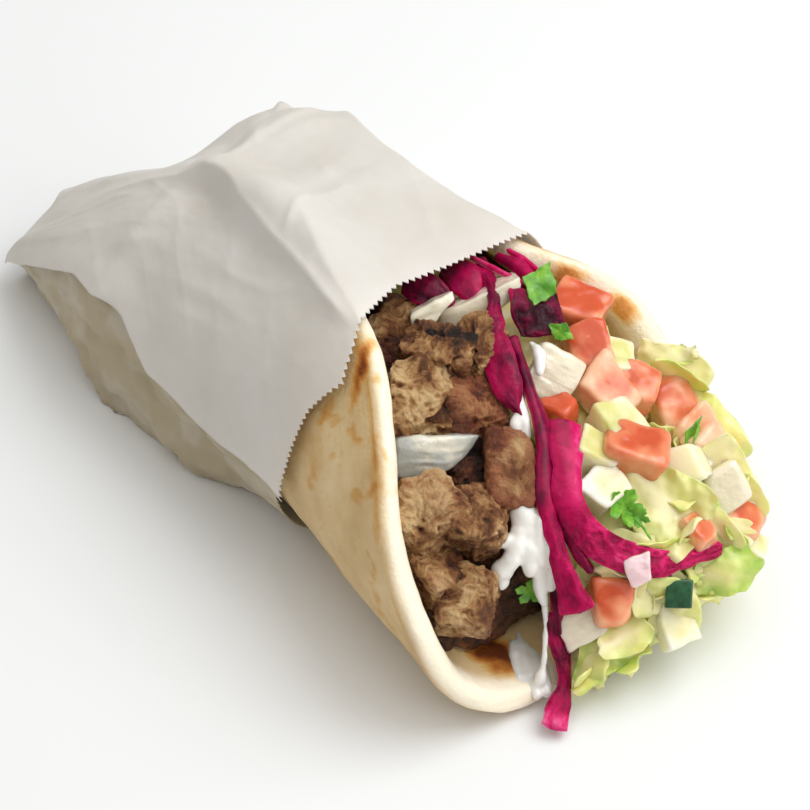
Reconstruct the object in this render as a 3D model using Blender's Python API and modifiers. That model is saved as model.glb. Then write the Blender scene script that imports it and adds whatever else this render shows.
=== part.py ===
"""Gyro sandwich: a round flatbread rolled round meat, chopped salad and sauce, in a paper wrap.

Frame: +X runs along the roll from the closed paper tail to the open end, +Y points to the far
flap of the bread, +Z is up.  Sizes below are in millimetres; meshes are made in metres.
"""
import bmesh
import bpy
import numpy as np
from mathutils import Euler, Matrix

MM = 0.001
GAP = 0.35                      # clear space kept between touching pieces
FILLING_ROOM = 1.4              # between the bread's inner face and the fillings' cores
FILLING_BACK = -82.0            # the cores begin this far back
SALAD_FRONT, MEAT_FRONT = 86.0, 84.0
FLAT_ANGLE, CORE_ANGLE = 5.0, 1.5   # degrees; flatter edges are left out after a cut

# Flatbread: a round disc, measured flat, that is rolled into a boat shape.
BREAD_RADIUS = 101.0
BREAD_THICK = 7.0
BREAD_RIM = 3.4                 # width of the rounding of its edge
BREAD_OFFSET = 7.0              # the disc's middle lies this far to the near side

# The roll's section at its back, middle and front: flat base, then two curling sides.
FLAT_HALF = (5.0, 14.0, 14.0)
NEAR_RADIUS = (20.0, 24.0, 24.0)
NEAR_TURN = (215.0, 147.0, 141.0)
FAR_RADIUS = (36.0, 24.5, 60.0)
FAR_TURN = (265.0, 158.0, 70.0)
SIDE_SHIFT = (-13.0, 0.0, -10.0)
MIDDLE_STATION = 20.0           # where the section is the middle one
BACK_END, FRONT_END = -62.0, 90.0

# The hidden tail of the bread is pressed together by the paper from here backwards.
TUCK_START, TUCK_END = -42.0, -96.0
TUCK_NEAR_Y = -34.0
TUCK_WIDTH, TUCK_HEIGHT, TUCK_LENGTH = 0.42, 0.12, 0.2

# Paper wrap: one sheet wound once round the roll, its last edge lying on the near side.
PAPER_THICK = 0.5
PAPER_FRONT, PAPER_BACK = 24.0, -106.0
PAPER_START_TURN, PAPER_END_TURN = 150.0, 553.0
PAPER_STATIONS = 14
FLOOR = -(GAP + PAPER_THICK)    # level of what the sandwich lies on

STATIONS = 15                   # sections along the bread
WALL_STEPS = 20                 # points across one face of the bread


# ---------------------------------------------------------------- numbers and grids

def smooth(start, end, x):
    """Ease from 0 at start to 1 at end."""
    t = np.clip((x - start) / (end - start), 0.0, 1.0)
    return t * t * (3.0 - 2.0 * t)


def bell(x, centre, width):
    """Rounded hump of height 1."""
    return np.exp(-((x - centre) / width) ** 2)


def along(values, x):
    """Blend a (back, middle, front) triple along the roll."""
    back, middle, front = values
    to_front = smooth(MIDDLE_STATION, FRONT_END, x)
    to_back = smooth(MIDDLE_STATION, BACK_END, x)
    return middle + (front - middle) * to_front + (back - middle) * to_back


def ring_faces(count, size, first=0):
    """Quads between count closed rings of size points each."""
    faces = []
    for i in range(count - 1):
        for j in range(size):
            a = first + i * size + j
            b = first + i * size + (j + 1) % size
            faces.append((a, b, b + size, a + size))
    return faces


# ---------------------------------------------------------------- objects

def material(name, colour, roughness):
    made = bpy.data.materials.new(name)
    made.use_nodes = True
    shader = made.node_tree.nodes["Principled BSDF"]
    shader.inputs["Base Color"].default_value = (*colour, 1.0)
    shader.inputs["Roughness"].default_value = roughness
    made.diffuse_color = (*colour, 1.0)
    return made


def outward(mesh):
    """Weld, turn every face outward and split into triangles."""
    bm = bmesh.new()
    bm.from_mesh(mesh)
    bmesh.ops.remove_doubles(bm, verts=bm.verts, dist=1e-6)
    bmesh.ops.dissolve_degenerate(bm, edges=bm.edges, dist=2e-6)
    bmesh.ops.triangulate(bm, faces=bm.faces)
    bmesh.ops.recalc_face_normals(bm, faces=bm.faces)
    if bm.calc_volume(signed=True) < 0:
        bmesh.ops.reverse_faces(bm, faces=bm.faces)
    bm.to_mesh(mesh)
    bm.free()


def solid(name, points, faces, surface, collection):
    """A closed object from points in millimetres."""
    mesh = bpy.data.meshes.new(name)
    mesh.from_pydata((np.asarray(points, float) * MM).tolist(), [], faces)
    mesh.materials.append(surface)
    outward(mesh)
    made = bpy.data.objects.new(name, mesh)
    collection.objects.link(made)
    return made


def tube(name, rings, surface, collection):
    """Closed rings of equal size joined one after the other, with a point closing each end."""
    rings = np.asarray(rings, float)
    count, size, _ = rings.shape
    points = np.concatenate([rings.reshape(-1, 3), rings[[0, -1]].mean(axis=1)])
    faces = ring_faces(count, size)
    tail, nose = count * size, count * size + 1
    last = (count - 1) * size
    for j in range(size):
        k = (j + 1) % size
        faces.append((tail, k, j))
        faces.append((nose, last + j, last + k))
    return solid(name, points, faces, surface, collection)


# ---------------------------------------------------------------- bread

def heading(x, q):
    """Slope of the bread's middle line at arc distance q from the base's middle."""
    far = q > 0
    radius = np.where(far, along(FAR_RADIUS, x), along(NEAR_RADIUS, x))
    turn = np.radians(np.where(far, along(FAR_TURN, x), along(NEAR_TURN, x)))
    run = np.maximum(np.abs(q) - along(FLAT_HALF, x), 0.0)
    run = np.hypot(run, 2.0) - 2.0
    return np.sign(q) * turn * np.tanh(run / (radius * turn))


def bread_point(x, q, out):
    """Place of the point at station x, arc distance q and distance out from the middle face."""
    steps = (np.arange(60) + 0.5) / 60
    slope = heading(x[..., None], q[..., None] * steps)
    end = heading(x, q)
    shift = along(SIDE_SHIFT, x)
    y = np.cos(slope).mean(axis=-1) * q + out * np.sin(end) + shift
    z = np.sin(slope).mean(axis=-1) * q - out * np.cos(end) + BREAD_THICK / 2
    tuck = smooth(TUCK_START, TUCK_END, x)
    y = TUCK_NEAR_Y + (y - TUCK_NEAR_Y) * (1 - TUCK_WIDTH * tuck)
    z = z * (1 - TUCK_HEIGHT * tuck) + FLOOR * smooth(PAPER_FRONT + 2, PAPER_FRONT + 30, x)
    back = x + TUCK_LENGTH * np.maximum(TUCK_START - x, 0)
    return np.stack([back, y, z], axis=-1)


def half_width(x):
    return np.sqrt(np.maximum(BREAD_RADIUS ** 2 - x ** 2, 0.0))


def bread_half_thickness(x, q):
    """Half of the bread's thickness, rounded off towards the disc's rim."""
    inside = np.clip((BREAD_RADIUS - np.hypot(x, q)) / BREAD_RIM, 0.0, 1.0)
    return BREAD_THICK / 2 * np.sqrt(1 - (1 - inside) ** 2)


def make_flatbread(surface, collection):
    """Sections across the disc, each a closed ring: outer face, rim, inner face, rim."""
    rings = []
    for i in range(1, STATIONS + 1):
        x = -BREAD_RADIUS * np.cos(np.pi * i / (STATIONS + 1))
        wide = half_width(x)
        core = np.linspace(wide - BREAD_RIM, BREAD_RIM - wide, WALL_STEPS)
        edge = wide - 0.29 * BREAD_RIM
        face = np.concatenate([[wide, edge], core, [-edge]])
        q = np.concatenate([face, -face])
        side = np.repeat([1.0, -1.0], face.size)
        station = np.full(q.size, x)
        out = side * bread_half_thickness(station, q)
        rings.append(bread_point(station, q - BREAD_OFFSET, out))
    return tube("flatbread", rings, surface, collection)


# ---------------------------------------------------------------- paper

def section_hull(x, angles, centre):
    """Distance from the centre to the tight outline round the bread's section, by angle."""
    inner_x = x if x > TUCK_START else TUCK_START + (x - TUCK_START) / (1 - TUCK_LENGTH)
    inner_x = max(inner_x, -94.0)
    q = np.linspace(-1, 1, 81) * half_width(inner_x)
    around = bread_point(np.full(81, inner_x), q - BREAD_OFFSET, np.full(81, BREAD_THICK / 2))
    y, z = around[:, 1] - centre[0], around[:, 2] - centre[1]
    normal = np.radians(np.arange(0, 360, 3.0))
    reach = (y[:, None] * np.cos(normal) + z[:, None] * np.sin(normal)).max(axis=0)
    facing = np.cos(normal[None] - angles[:, None])
    return np.where(facing > 0.15, reach[None] / np.maximum(facing, 0.15), 1e9).min(axis=1)


def section_centre(x):
    """Middle of the roll's section, lower and nearer towards the tail."""
    back = smooth(TUCK_START, PAPER_BACK + 10, x)
    return np.array([-2.0 - 16.0 * back, 38.0 - 29.0 * back])


def flap_corner(x, side):
    """Angle, seen from the section's centre, of the top corner where a flap's edge lies."""
    inner_x = np.array([max(x, -80.0)])
    q = side * half_width(inner_x) - BREAD_OFFSET
    edge = bread_point(inner_x, q, np.array([BREAD_THICK / 2]))[0]
    centre = section_centre(x)
    return np.degrees(np.arctan2(edge[2] - centre[1], edge[1] - centre[0]))


def paper_section(x):
    """One section of the wound sheet, from its hidden first edge to its last edge."""
    keys = (PAPER_START_TURN, 192.0, 232.0, 270.0, 308.0, 340.0, 362.0,
            360.0 + flap_corner(x, 1), 360.0 + flap_corner(x, -1), 532.0, PAPER_END_TURN)
    steps = (2, 3, 2, 3, 2, 2, 4, 4, 3, 2)
    turn = [keys[0]]
    for start, end, count in zip(keys, keys[1:], steps):
        turn.extend(np.linspace(start, end, count + 1)[1:])
    turn = np.array(turn)
    angle = np.radians(turn)
    centre = section_centre(x)
    radius = section_hull(x, angle, centre)
    layer = smooth(462.0, 505.0, turn) * (PAPER_THICK + GAP + 0.3)
    loose = 10.0 * bell(turn, 226.0, 18.0) * bell(x, -34.0, 38.0)
    peak = 12.0 * bell(turn, 406.0, 20.0) * bell(x, -62.0, 19.0)
    ridge = 5.0 * bell(turn, 464.0, 14.0) * bell(x, -24.0, 26.0)
    crown = 8.0 * bell(turn, 450.0, 28.0) * bell(x, -95.0, 15.0)
    slack = 1.05 + 4.0 * smooth(-40.0, -70.0, x) + 0.8 * smooth(8.0, PAPER_FRONT, x)
    radius = radius + slack + layer + loose + peak + ridge + crown
    y = centre[0] + radius * np.cos(angle)
    z = centre[1] + radius * np.sin(angle)
    flat = smooth(-94.0, PAPER_BACK, x)
    z = z * (1 - 0.8 * flat) + 0.45 * flat * np.maximum(y + 30.0, 0.0)
    z = np.maximum(z, -GAP)
    return np.stack([np.full(turn.size, x), y, z], axis=-1)


def make_paper(surface, collection):
    """The wound sheet as an open surface, thickened outward."""
    share = np.linspace(0.0, 1.0, PAPER_STATIONS)
    stations = PAPER_FRONT + (PAPER_BACK - PAPER_FRONT) * share ** 0.9
    rows = np.array([paper_section(x) for x in stations])
    count, size, _ = rows.shape
    mesh = bpy.data.meshes.new("paper_wrap")
    faces = []
    for i in range(count - 1):
        for j in range(size - 1):
            a = i * size + j
            faces.append((a, a + size, a + size + 1, a + 1))
    mesh.from_pydata((rows.reshape(-1, 3) * MM).tolist(), [], faces)
    mesh.materials.append(surface)
    made = bpy.data.objects.new("paper_wrap", mesh)
    collection.objects.link(made)
    wall = made.modifiers.new("Paper", "SOLIDIFY")
    wall.thickness = PAPER_THICK * MM
    wall.offset = 1.0
    settle(made)
    return made


# ---------------------------------------------------------------- cutting pieces clear

def settle(target):
    """Replace an object's mesh by its evaluated one."""
    graph = bpy.context.evaluated_depsgraph_get()
    mesh = bpy.data.meshes.new_from_object(target.evaluated_get(graph))
    target.modifiers.clear()
    old = target.data
    target.data = mesh
    bpy.data.meshes.remove(old)
    outward(target.data)


def corners(target):
    """Lowest and highest corner of an object's mesh, in metres."""
    points = np.empty(len(target.data.vertices) * 3)
    target.data.vertices.foreach_get("co", points)
    points = points.reshape(-1, 3)
    return points.min(axis=0), points.max(axis=0)


def near(first, second):
    low_a, high_a = corners(first)
    low_b, high_b = corners(second)
    return bool(np.all(low_a < high_b) and np.all(low_b < high_a))


def swollen(source, distance):
    """A copy of a piece, grown by an even distance in metres."""
    mesh = source.data.copy()
    bm = bmesh.new()
    bm.from_mesh(mesh)
    bm.normal_update()
    moves = [vert.normal * distance * min(vert.calc_shell_factor(), 2.0) for vert in bm.verts]
    for vert, move in zip(bm.verts, moves):
        vert.co += move
    bm.to_mesh(mesh)
    bm.free()
    made = bpy.data.objects.new("cutter", mesh)
    bpy.data.collections["cutters"].objects.link(made)
    made.hide_render = True
    made.display_type = "WIRE"
    return made


def is_closed(mesh):
    bm = bmesh.new()
    bm.from_mesh(mesh)
    closed = len(bm.faces) > 3 and all(len(edge.link_faces) == 2 for edge in bm.edges)
    bm.free()
    return closed


def keep_largest(target):
    """Drop every loose scrap that a cut has left."""
    bm = bmesh.new()
    bm.from_mesh(target.data)
    left = set(bm.verts)
    islands = []
    while left:
        seed = left.pop()
        island, queue = [seed], [seed]
        while queue:
            vert = queue.pop()
            for edge in vert.link_edges:
                other = edge.other_vert(vert)
                if other in left:
                    left.remove(other)
                    island.append(other)
                    queue.append(other)
        islands.append(island)

    def bulk(island):
        points = np.array([vert.co for vert in island])
        return float(np.prod(points.max(axis=0) - points.min(axis=0)))

    islands.sort(key=bulk)
    scraps = [vert for island in islands[:-1] for vert in island]
    bmesh.ops.delete(bm, geom=scraps, context="VERTS")
    bm.to_mesh(target.data)
    bm.free()


def simplify(target, angle):
    """Leave out the edges across faces flatter than angle degrees, where it stays closed."""
    before = target.data.copy()
    bm = bmesh.new()
    bm.from_mesh(target.data)
    bmesh.ops.dissolve_limit(bm, angle_limit=np.radians(angle), verts=bm.verts, edges=bm.edges)
    bm.to_mesh(target.data)
    bm.free()
    outward(target.data)
    if not is_closed(target.data):
        target.data = before


def combine(target, tool, operation):
    """Boolean of two closed meshes, tried again with the tool nudged where it leaves a hole."""
    before = target.data.copy()
    for nudge in (0.0, 0.03, -0.05):
        tool.location.z = nudge * MM
        for solver in ("EXACT", "MANIFOLD"):
            change = target.modifiers.new("Combine", "BOOLEAN")
            change.operation = operation
            change.solver = solver
            change.object = tool
            settle(target)
            if is_closed(target.data):
                return
            target.data = before.copy()


def fit(target, forms, angle=FLAT_ANGLE):
    """Cut a piece clear of the forms before it, and add its own whole form to them."""
    own = swollen(target, GAP * MM)
    for form in forms:
        if near(target, form):
            combine(target, form, "DIFFERENCE")
    keep_largest(target)
    simplify(target, angle)
    forms.append(own)


def drop(target):
    mesh = target.data
    bpy.data.objects.remove(target)
    bpy.data.meshes.remove(mesh)


# ---------------------------------------------------------------- food pieces

def lumps(directions, seed, depth):
    """Low uneven swellings: a sum of a few seeded waves over directions from the middle."""
    draw = np.random.default_rng(seed)
    waves = draw.normal(0.0, 2.4, (5, 3))
    phase = draw.uniform(0.0, 2 * np.pi, 5)
    return depth * np.sin(directions @ waves.T + phase).sum(axis=1) / 2.2


def chunk(name, place, size, turn, seed, surface, collection, cuts=2, square=3.2, depth=0.12):
    """A rounded, uneven block: a cut-up cube blown towards a superellipsoid."""
    bm = bmesh.new()
    bmesh.ops.create_cube(bm, size=2.0)
    bmesh.ops.subdivide_edges(bm, edges=bm.edges, cuts=cuts, use_grid_fill=True)
    points = np.array([vert.co for vert in bm.verts])
    faces = [[vert.index for vert in face.verts] for face in bm.faces]
    bm.free()
    ray = points / np.linalg.norm(points, axis=1)[:, None]
    reach = (np.abs(ray) ** square).sum(axis=1) ** (-1 / square)
    body = ray * (reach * (1 + lumps(ray, seed, depth)))[:, None] * np.array(size) / 2
    yaw, pitch = np.radians(turn)
    spin = np.array(Euler((0.0, pitch, yaw)).to_matrix())
    return solid(name, body @ spin.T + np.array(place), faces, surface, collection)


def smooth_path(points, count):
    """A cubic B-spline through (nearly) the given points, sampled evenly in its parameter."""
    points = np.array(points, float)
    points = np.concatenate([[2 * points[0] - points[1]], points, [2 * points[-1] - points[-2]]])
    t = np.linspace(0, len(points) - 3 - 1e-6, count)
    i = t.astype(int)
    f = (t - i)[:, None]
    a, b, c, d = (points[i + k] for k in range(4))
    return 0.5 * (2 * b + (c - a) * f + (2 * a - 5 * b + 4 * c - d) * f ** 2
                  + (3 * b - a - 3 * c + d) * f ** 3)


def strip(name, path, widths, thick, facing, surface, collection, count=13, wave=0.0, sides=6):
    """A flat section carried along a path; its broad face looks towards facing."""
    middle = smooth_path(path, count)
    wide = smooth_path([(w, 0, 0) for w in widths], count)[:, 0]
    ahead = np.gradient(middle, axis=0)
    ahead /= np.linalg.norm(ahead, axis=1)[:, None]
    across = np.cross(ahead, np.array(facing, float))
    across /= np.linalg.norm(across, axis=1)[:, None]
    up = np.cross(across, ahead)
    angle = 2 * np.pi * np.arange(sides) / sides
    flat = np.sign(np.cos(angle)) * np.abs(np.cos(angle)) ** 0.8
    low = np.sin(angle)
    ripple = wave * np.sin(np.arange(count) * 1.9)[:, None] * np.cos(angle)
    rings = (middle[:, None] + across[:, None] * (wide[:, None] / 2 * flat)[..., None]
             + up[:, None] * (thick / 2 * low + ripple)[..., None])
    return tube(name, rings, surface, collection)


def leaf(name, place, size, turn, seed, surface, collection, thick=1.1, steps=(5, 4)):
    """A thin wavy sheet with both faces split alike; its rim is drawn in at the corners."""
    draw = np.random.default_rng(seed)
    u, v = np.meshgrid(np.linspace(-1, 1, steps[0]), np.linspace(-1, 1, steps[1]), indexing="ij")
    x = u * np.sqrt(1 - 0.45 * v ** 2) * size[0] / 2
    y = v * np.sqrt(1 - 0.45 * u ** 2) * size[1] / 2
    phase = draw.uniform(0, 6.28, 3)
    z = size[2] * (np.sin(2.2 * u + phase[0]) * 0.5 + np.sin(3.3 * v + phase[1]) * 0.35
                   + np.sin(4.0 * u * v + phase[2]) * 0.3)
    sheet = np.stack([x, y, z], axis=-1).reshape(-1, 3)
    count, across = steps
    faces = []
    for i in range(count - 1):
        for j in range(across - 1):
            a = i * across + j
            b, c, d = a + across, a + across + 1, a + 1
            faces += [(a, b, c), (a, c, d)]
    top = len(sheet)
    faces += [tuple(top + k for k in reversed(face)) for face in faces]
    rim = [j for j in range(across)]
    rim += [i * across + across - 1 for i in range(1, count)]
    rim += [(count - 1) * across + j for j in range(across - 2, -1, -1)]
    rim += [i * across for i in range(count - 2, 0, -1)]
    for a, b in zip(rim, rim[1:] + rim[:1]):
        faces += [(a, b, top + b), (a, top + b, top + a)]
    points = np.concatenate([sheet, sheet + (0, 0, thick)])
    yaw, pitch = np.radians(turn)
    spin = np.array(Euler((0.0, pitch, yaw)).to_matrix())
    return solid(name, points @ spin.T + np.array(place), faces, surface, collection)


# ---------------------------------------------------------------- fillings inside the roll

def filling_ring(x, near_side):
    """Section of one filling: up the bread's wall, down the shared divide, along the top."""
    sign = -1.0 if near_side else 1.0
    inside = np.array([-(BREAD_THICK / 2 + FILLING_ROOM)])
    rims = []
    for side in (-1.0, 1.0):
        q = np.array([side * (half_width(x) - 7.0) - BREAD_OFFSET])
        rims.append(bread_point(np.array([x]), q, inside)[0])

    def top(share):
        """Point of the filling's upper face, from the near wall at 0 to the far wall at 1."""
        point = rims[0] + (rims[1] - rims[0]) * share
        dome = -4.0
        if near_side:
            dome += -4.0 * smooth(8, 36, x) + 24.0 * smooth(40, 92, x) - 12.0 * smooth(76, 92, x)
        else:
            dome += 4.0 * smooth(30, 46, x) + 26.0 * smooth(44, 84, x)
        point[2] = point[2] + dome * np.sin(np.pi * share) ** 0.8
        return point

    rim_q = sign * (half_width(x) - 7.0) - BREAD_OFFSET
    q = np.linspace(rim_q, sign * 0.2, 10)
    wall = bread_point(np.full(10, x), q, np.full(10, inside[0]))
    crest = 0.42 + sign * 0.004
    shares = np.linspace(crest, 0.0 if near_side else 1.0, 5)[:-1]
    upper = np.array([top(share) for share in shares])
    divide = wall[-1] + (upper[0] - wall[-1]) * np.linspace(0.3, 0.7, 2)[:, None]
    return np.concatenate([wall, divide, upper])


def make_filling(name, near_side, front, surface, collection):
    """A filling's core, from the roll's tail to its front station."""
    stations = np.linspace(FILLING_BACK, front, 9)
    rings = [filling_ring(x, near_side) for x in stations]
    return tube(name, rings, surface, collection)


# ---------------------------------------------------------------- what lies where

# Meat chunks: place of the middle, size, and yaw and pitch in degrees.
MEAT = (
    ((22, -7, 58), (15, 14, 13), (20, 10)),
    ((30, -15, 53), (16, 13, 14), (-60, 20)),
    ((38, -5, 59), (17, 15, 14), (35, 0)),
    ((43, 3, 60), (13, 13, 11), (10, 15)),
    ((44, -17, 54), (19, 17, 14), (-35, 25)),
    ((53, -7, 52), (14, 15, 13), (60, 10)),
    ((70, -9, 47), (22, 13, 14), (-42, 36)),
    ((60, -14, 42), (15, 15, 13), (15, 20)),
    ((66, -34, 45), (18, 17, 15), (-20, 15)),
    ((74, -24, 43), (18, 15, 15), (50, 10)),
    ((75, -39, 33), (15, 14, 14), (0, 20)),
    ((85, -36, 30), (19, 16, 14), (-55, 25)),
)

# Chopped tomato, cucumber and onion: the same three columns.
TOMATO = (
    ((44, 37, 56), (15, 13, 12), (25, 10)),
    ((55, 31, 53), (13, 12, 10), (-30, 15)),
    ((67, 25, 52), (15, 12, 11), (10, 20)),
    ((68, 35, 48), (13, 11, 10), (45, 10)),
    ((71, 46, 36), (17, 14, 13), (-20, 25)),
    ((86, 21, 45), (19, 12, 12), (40, 15)),
    ((83, 44, 32), (13, 14, 11), (15, 25)),
    ((103, -4, 21), (13, 11, 9), (-40, 45)),
    ((104, 37, 25), (12, 10, 8), (30, 30)),
    ((103, 22, 31), (9, 9, 7), (0, 20)),
    ((65, 10, 50), (9, 8, 8), (20, 0)),
)
CUCUMBER = (
    ((76, 21, 48), (14, 13, 11), (-15, 10)),
    ((79, 10, 46), (11, 10, 9), (30, 20)),
    ((61, 35, 52), (11, 9, 8), (50, 10)),
    ((86, 5, 43), (9, 9, 8), (10, 25)),
    ((97, 42, 26), (12, 10, 8), (-25, 20)),
    ((108, 35, 20), (10, 8, 8), (35, 35)),
    ((112, 7, 14), (10, 9, 8), (-10, 30)),
    ((109, 12, 23), (8, 8, 3), (-40, 50)),
)
ONION = (
    ((58, -25, 49), (19, 14, 4), (-42, 36)),
    ((28, 0, 62), (9, 9, 4), (20, 20)),
    ((36, 13, 60), (18, 12, 5), (60, 25)),
    ((57, 13, 55), (17, 15, 6), (-20, 25)),
    ((99, -12, 14), (11, 10, 5), (-40, 50)),
    ((102, 5, 27), (9, 6, 4), (-40, 45)),
    ((91, 32, 36), (9, 9, 5), (10, 20)),
)

# Red cabbage strips: points along the middle, and widths at those points.
CABBAGE = (
    (((22, 22, 63), (36, 14, 66), (45, 6, 65), (52, 2, 63), (59, -1, 60), (65, -1, 56)),
     (4, 6, 8, 10, 11, 4)),
    (((49, 8, 61), (63, 4, 57), (72, -1, 54), (83, -10, 47), (93, -14, 37), (101, -15, 26)),
     (4, 5, 5, 5, 6, 9)),
    (((71, 7, 54), (79, 0, 52), (87, -6, 47), (96, -5, 40), (105, 3, 35), (109, 14, 32),
      (110, 24, 30)), (8, 7, 7, 7, 7, 6, 3)),
    (((95, -18, 20), (99, -18, 13), (105, -21, 6), (111, -30, 2)), (6, 7, 5, 6)),
    (((37, 27, 61), (44, 21, 62), (50, 16, 59)), (8, 14, 9)),
    (((17, 1, 65), (23, 3, 65), (30, 6, 62)), (5, 8, 5)),
    (((18, 14, 63), (26, 13, 65), (33, 11, 63)), (6, 9, 5)),
    (((23, 26, 63), (31, 27, 64), (37, 26, 64)), (3, 4, 3)),
)
CABBAGE_THICK = 2.6
TO_VIEW = (0.5, -0.4, 0.75)     # the broad faces of strips look up and out of the open end

# Herb leaves and lettuce: place, size with depth of the waves, yaw and pitch.
PARSLEY = (
    ((39, 28, 68), (12, 9, 1.2), (-60, 40)),
    ((54, 22, 60), (8, 7, 1.0), (-30, 35)),
    ((96, 7, 43), (12, 7, 2.2), (-70, 30)),
    ((86, 37, 43), (10, 4, 0.8), (-60, 30)),
)
LETTUCE = (
    ((64, 50, 38), (20, 15, 2.5), (30, -35)),
    ((96, 14, 36), (22, 17, 2.0), (-20, 25)),
    ((110, 26, 17), (20, 14, 2.5), (20, 60)),
    ((106, -9, 9), (22, 16, 2.5), (-30, 55)),
    ((104, 13, 23), (22, 26, 2.5), (0, 48)),
    ((81, 47, 30), (18, 16, 2.5), (70, 40)),
    ((96, 42, 13), (20, 15, 2.0), (55, 60)),
    ((99, 0, 29), (16, 12, 2.0), (-30, 30)),
)
HEAP_PLACE, HEAP_SIZE = (87, 18, 13), (51, 58, 54)

# Yoghurt sauce: points, widths and thickness of each run.
SAUCE = (
    (((64, 1, 53), (73, -7, 42), (79, -14, 37), (84, -24, 31)), (5, 10, 13, 8), 8.0),
    (((80, -8, 43), (87, -13, 31), (94, -21, 17), (99, -25, 9)), (5, 7, 8, 9), 4.0),
)


def raise_to_floor(target):
    """Lift every point that hangs below the floor."""
    for vert in target.data.vertices:
        vert.co.z = max(vert.co.z, (FLOOR + GAP) * MM)


def make_salad(surface, collection):
    """The salad's core, the heap that has spilled out of the roll, and its lettuce leaves."""
    salad = make_filling("salad", False, SALAD_FRONT, surface, collection)
    added = [chunk("heap", HEAP_PLACE, HEAP_SIZE, (0, 0), 5, surface, collection, 3, 2.2, 0.05)]
    for i, (place, size, turn) in enumerate(LETTUCE, 1):
        added.append(leaf("sheet", place, size, turn, 40 + i, surface, collection))
    for piece in added:
        raise_to_floor(piece)
        combine(salad, piece, "UNION")
        drop(piece)
    return salad


def set_down(pieces):
    """Put the origin at the middle of the underside of the box round all pieces."""
    boxes = np.array([corners(piece) for piece in pieces])
    low, high = boxes[:, 0].min(axis=0), boxes[:, 1].max(axis=0)
    shift = np.array([-(low[0] + high[0]) / 2, -(low[1] + high[1]) / 2, -low[2]])
    for piece in pieces:
        piece.data.transform(Matrix.Translation(shift))
    return shift / MM


def main():
    for old in list(bpy.data.objects):
        bpy.data.objects.remove(old)
    food = bpy.data.collections.new("gyro_sandwich")
    cutters = bpy.data.collections.new("cutters")
    for collection in (food, cutters):
        bpy.context.scene.collection.children.link(collection)

    bread = make_flatbread(material("baked flatbread", (0.80, 0.58, 0.32), 0.75), food)
    paper = make_paper(material("greaseproof paper", (0.72, 0.68, 0.62), 0.55), food)
    forms = [swollen(bread, GAP * MM), swollen(paper, GAP * MM)]

    purple = material("red cabbage", (0.38, 0.01, 0.11), 0.25)
    for i, (path, widths) in enumerate(CABBAGE, 1):
        fit(strip(f"cabbage_{i:02d}", path, widths, CABBAGE_THICK, TO_VIEW, purple, food,
                  count=2 * len(path) + 1, wave=0.5), forms)

    # Kind, places, colour and roughness, then how finely and how squarely a block is cut.
    groups = (
        ("meat", MEAT, (0.24, 0.11, 0.055), 0.6, 2, 3.0, 0.12),
        ("onion", ONION, (0.78, 0.68, 0.62), 0.2, 1, 4.0, 0.05),
        ("tomato", TOMATO, (0.75, 0.14, 0.05), 0.2, 1, 5.0, 0.05),
        ("cucumber", CUCUMBER, (0.78, 0.75, 0.38), 0.25, 1, 5.0, 0.04),
    )
    for kind, table, colour, rough, cuts, square, depth in groups:
        surface = material(kind, colour, rough)
        for i, (place, size, turn) in enumerate(table, 1):
            fit(chunk(f"{kind}_{i:02d}", place, size, turn, 17 * i + len(kind), surface, food,
                      cuts, square, depth), forms)

    green = material("parsley", (0.11, 0.33, 0.03), 0.4)
    for i, (place, size, turn) in enumerate(PARSLEY, 1):
        fit(leaf(f"parsley_{i:02d}", place, size, turn, i, green, food, 0.9), forms)

    white = material("yoghurt sauce", (0.88, 0.88, 0.86), 0.15)
    for i, (path, widths, thick) in enumerate(SAUCE, 1):
        fit(strip(f"sauce_{i:02d}", path, widths, thick, TO_VIEW, white, food, count=7, sides=8),
            forms)

    fit(make_salad(material("lettuce", (0.6, 0.7, 0.25), 0.4), food), forms, CORE_ANGLE)
    brown = material("meat core", (0.2, 0.09, 0.05), 0.6)
    fit(make_filling("meat_core", True, MEAT_FRONT, brown, food), forms, CORE_ANGLE)

    for spare in list(cutters.objects):
        drop(spare)
    return set_down(list(food.objects))


frame_shift = main()
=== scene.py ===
"""Gyro sandwich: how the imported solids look, put together from the bread outwards.

Lengths are millimetres in the roll's own frame: +X along the roll to its open end, +Y to the far
flap, +Z up, zero height on the bread's underside.  Meshes are made in metres in the part's frame.
"""

import bpy
import numpy as np
from mathutils import Euler, Matrix


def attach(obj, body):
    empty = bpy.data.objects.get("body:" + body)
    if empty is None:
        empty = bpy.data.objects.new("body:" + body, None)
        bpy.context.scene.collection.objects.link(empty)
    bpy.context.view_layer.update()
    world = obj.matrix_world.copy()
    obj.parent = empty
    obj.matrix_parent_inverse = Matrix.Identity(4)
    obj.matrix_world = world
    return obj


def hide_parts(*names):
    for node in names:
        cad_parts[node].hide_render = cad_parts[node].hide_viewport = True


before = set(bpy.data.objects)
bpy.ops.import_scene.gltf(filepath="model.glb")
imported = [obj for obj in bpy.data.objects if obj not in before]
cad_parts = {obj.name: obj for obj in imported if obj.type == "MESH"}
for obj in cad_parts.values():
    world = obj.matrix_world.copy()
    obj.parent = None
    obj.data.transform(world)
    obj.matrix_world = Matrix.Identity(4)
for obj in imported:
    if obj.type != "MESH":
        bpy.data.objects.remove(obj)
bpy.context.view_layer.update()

# ------------------------------------------------------------------------------------ flatbread
# A round leavened flatbread, baked on a hot plate: a cream, matt, faintly floury skin with low
# blisters, brown where it lay on the plate.  Rolled into a boat with its base on the floor.
MM = 0.001
ROLL = np.array([-5.67, -1.476, 0.85])     # where the roll's own zero lies in the part's frame
FLOOR = -0.85
BREAD_RADIUS, BREAD_THICK, BREAD_RIM, BREAD_OFFSET = 101, 7, 3.4, 7
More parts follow.
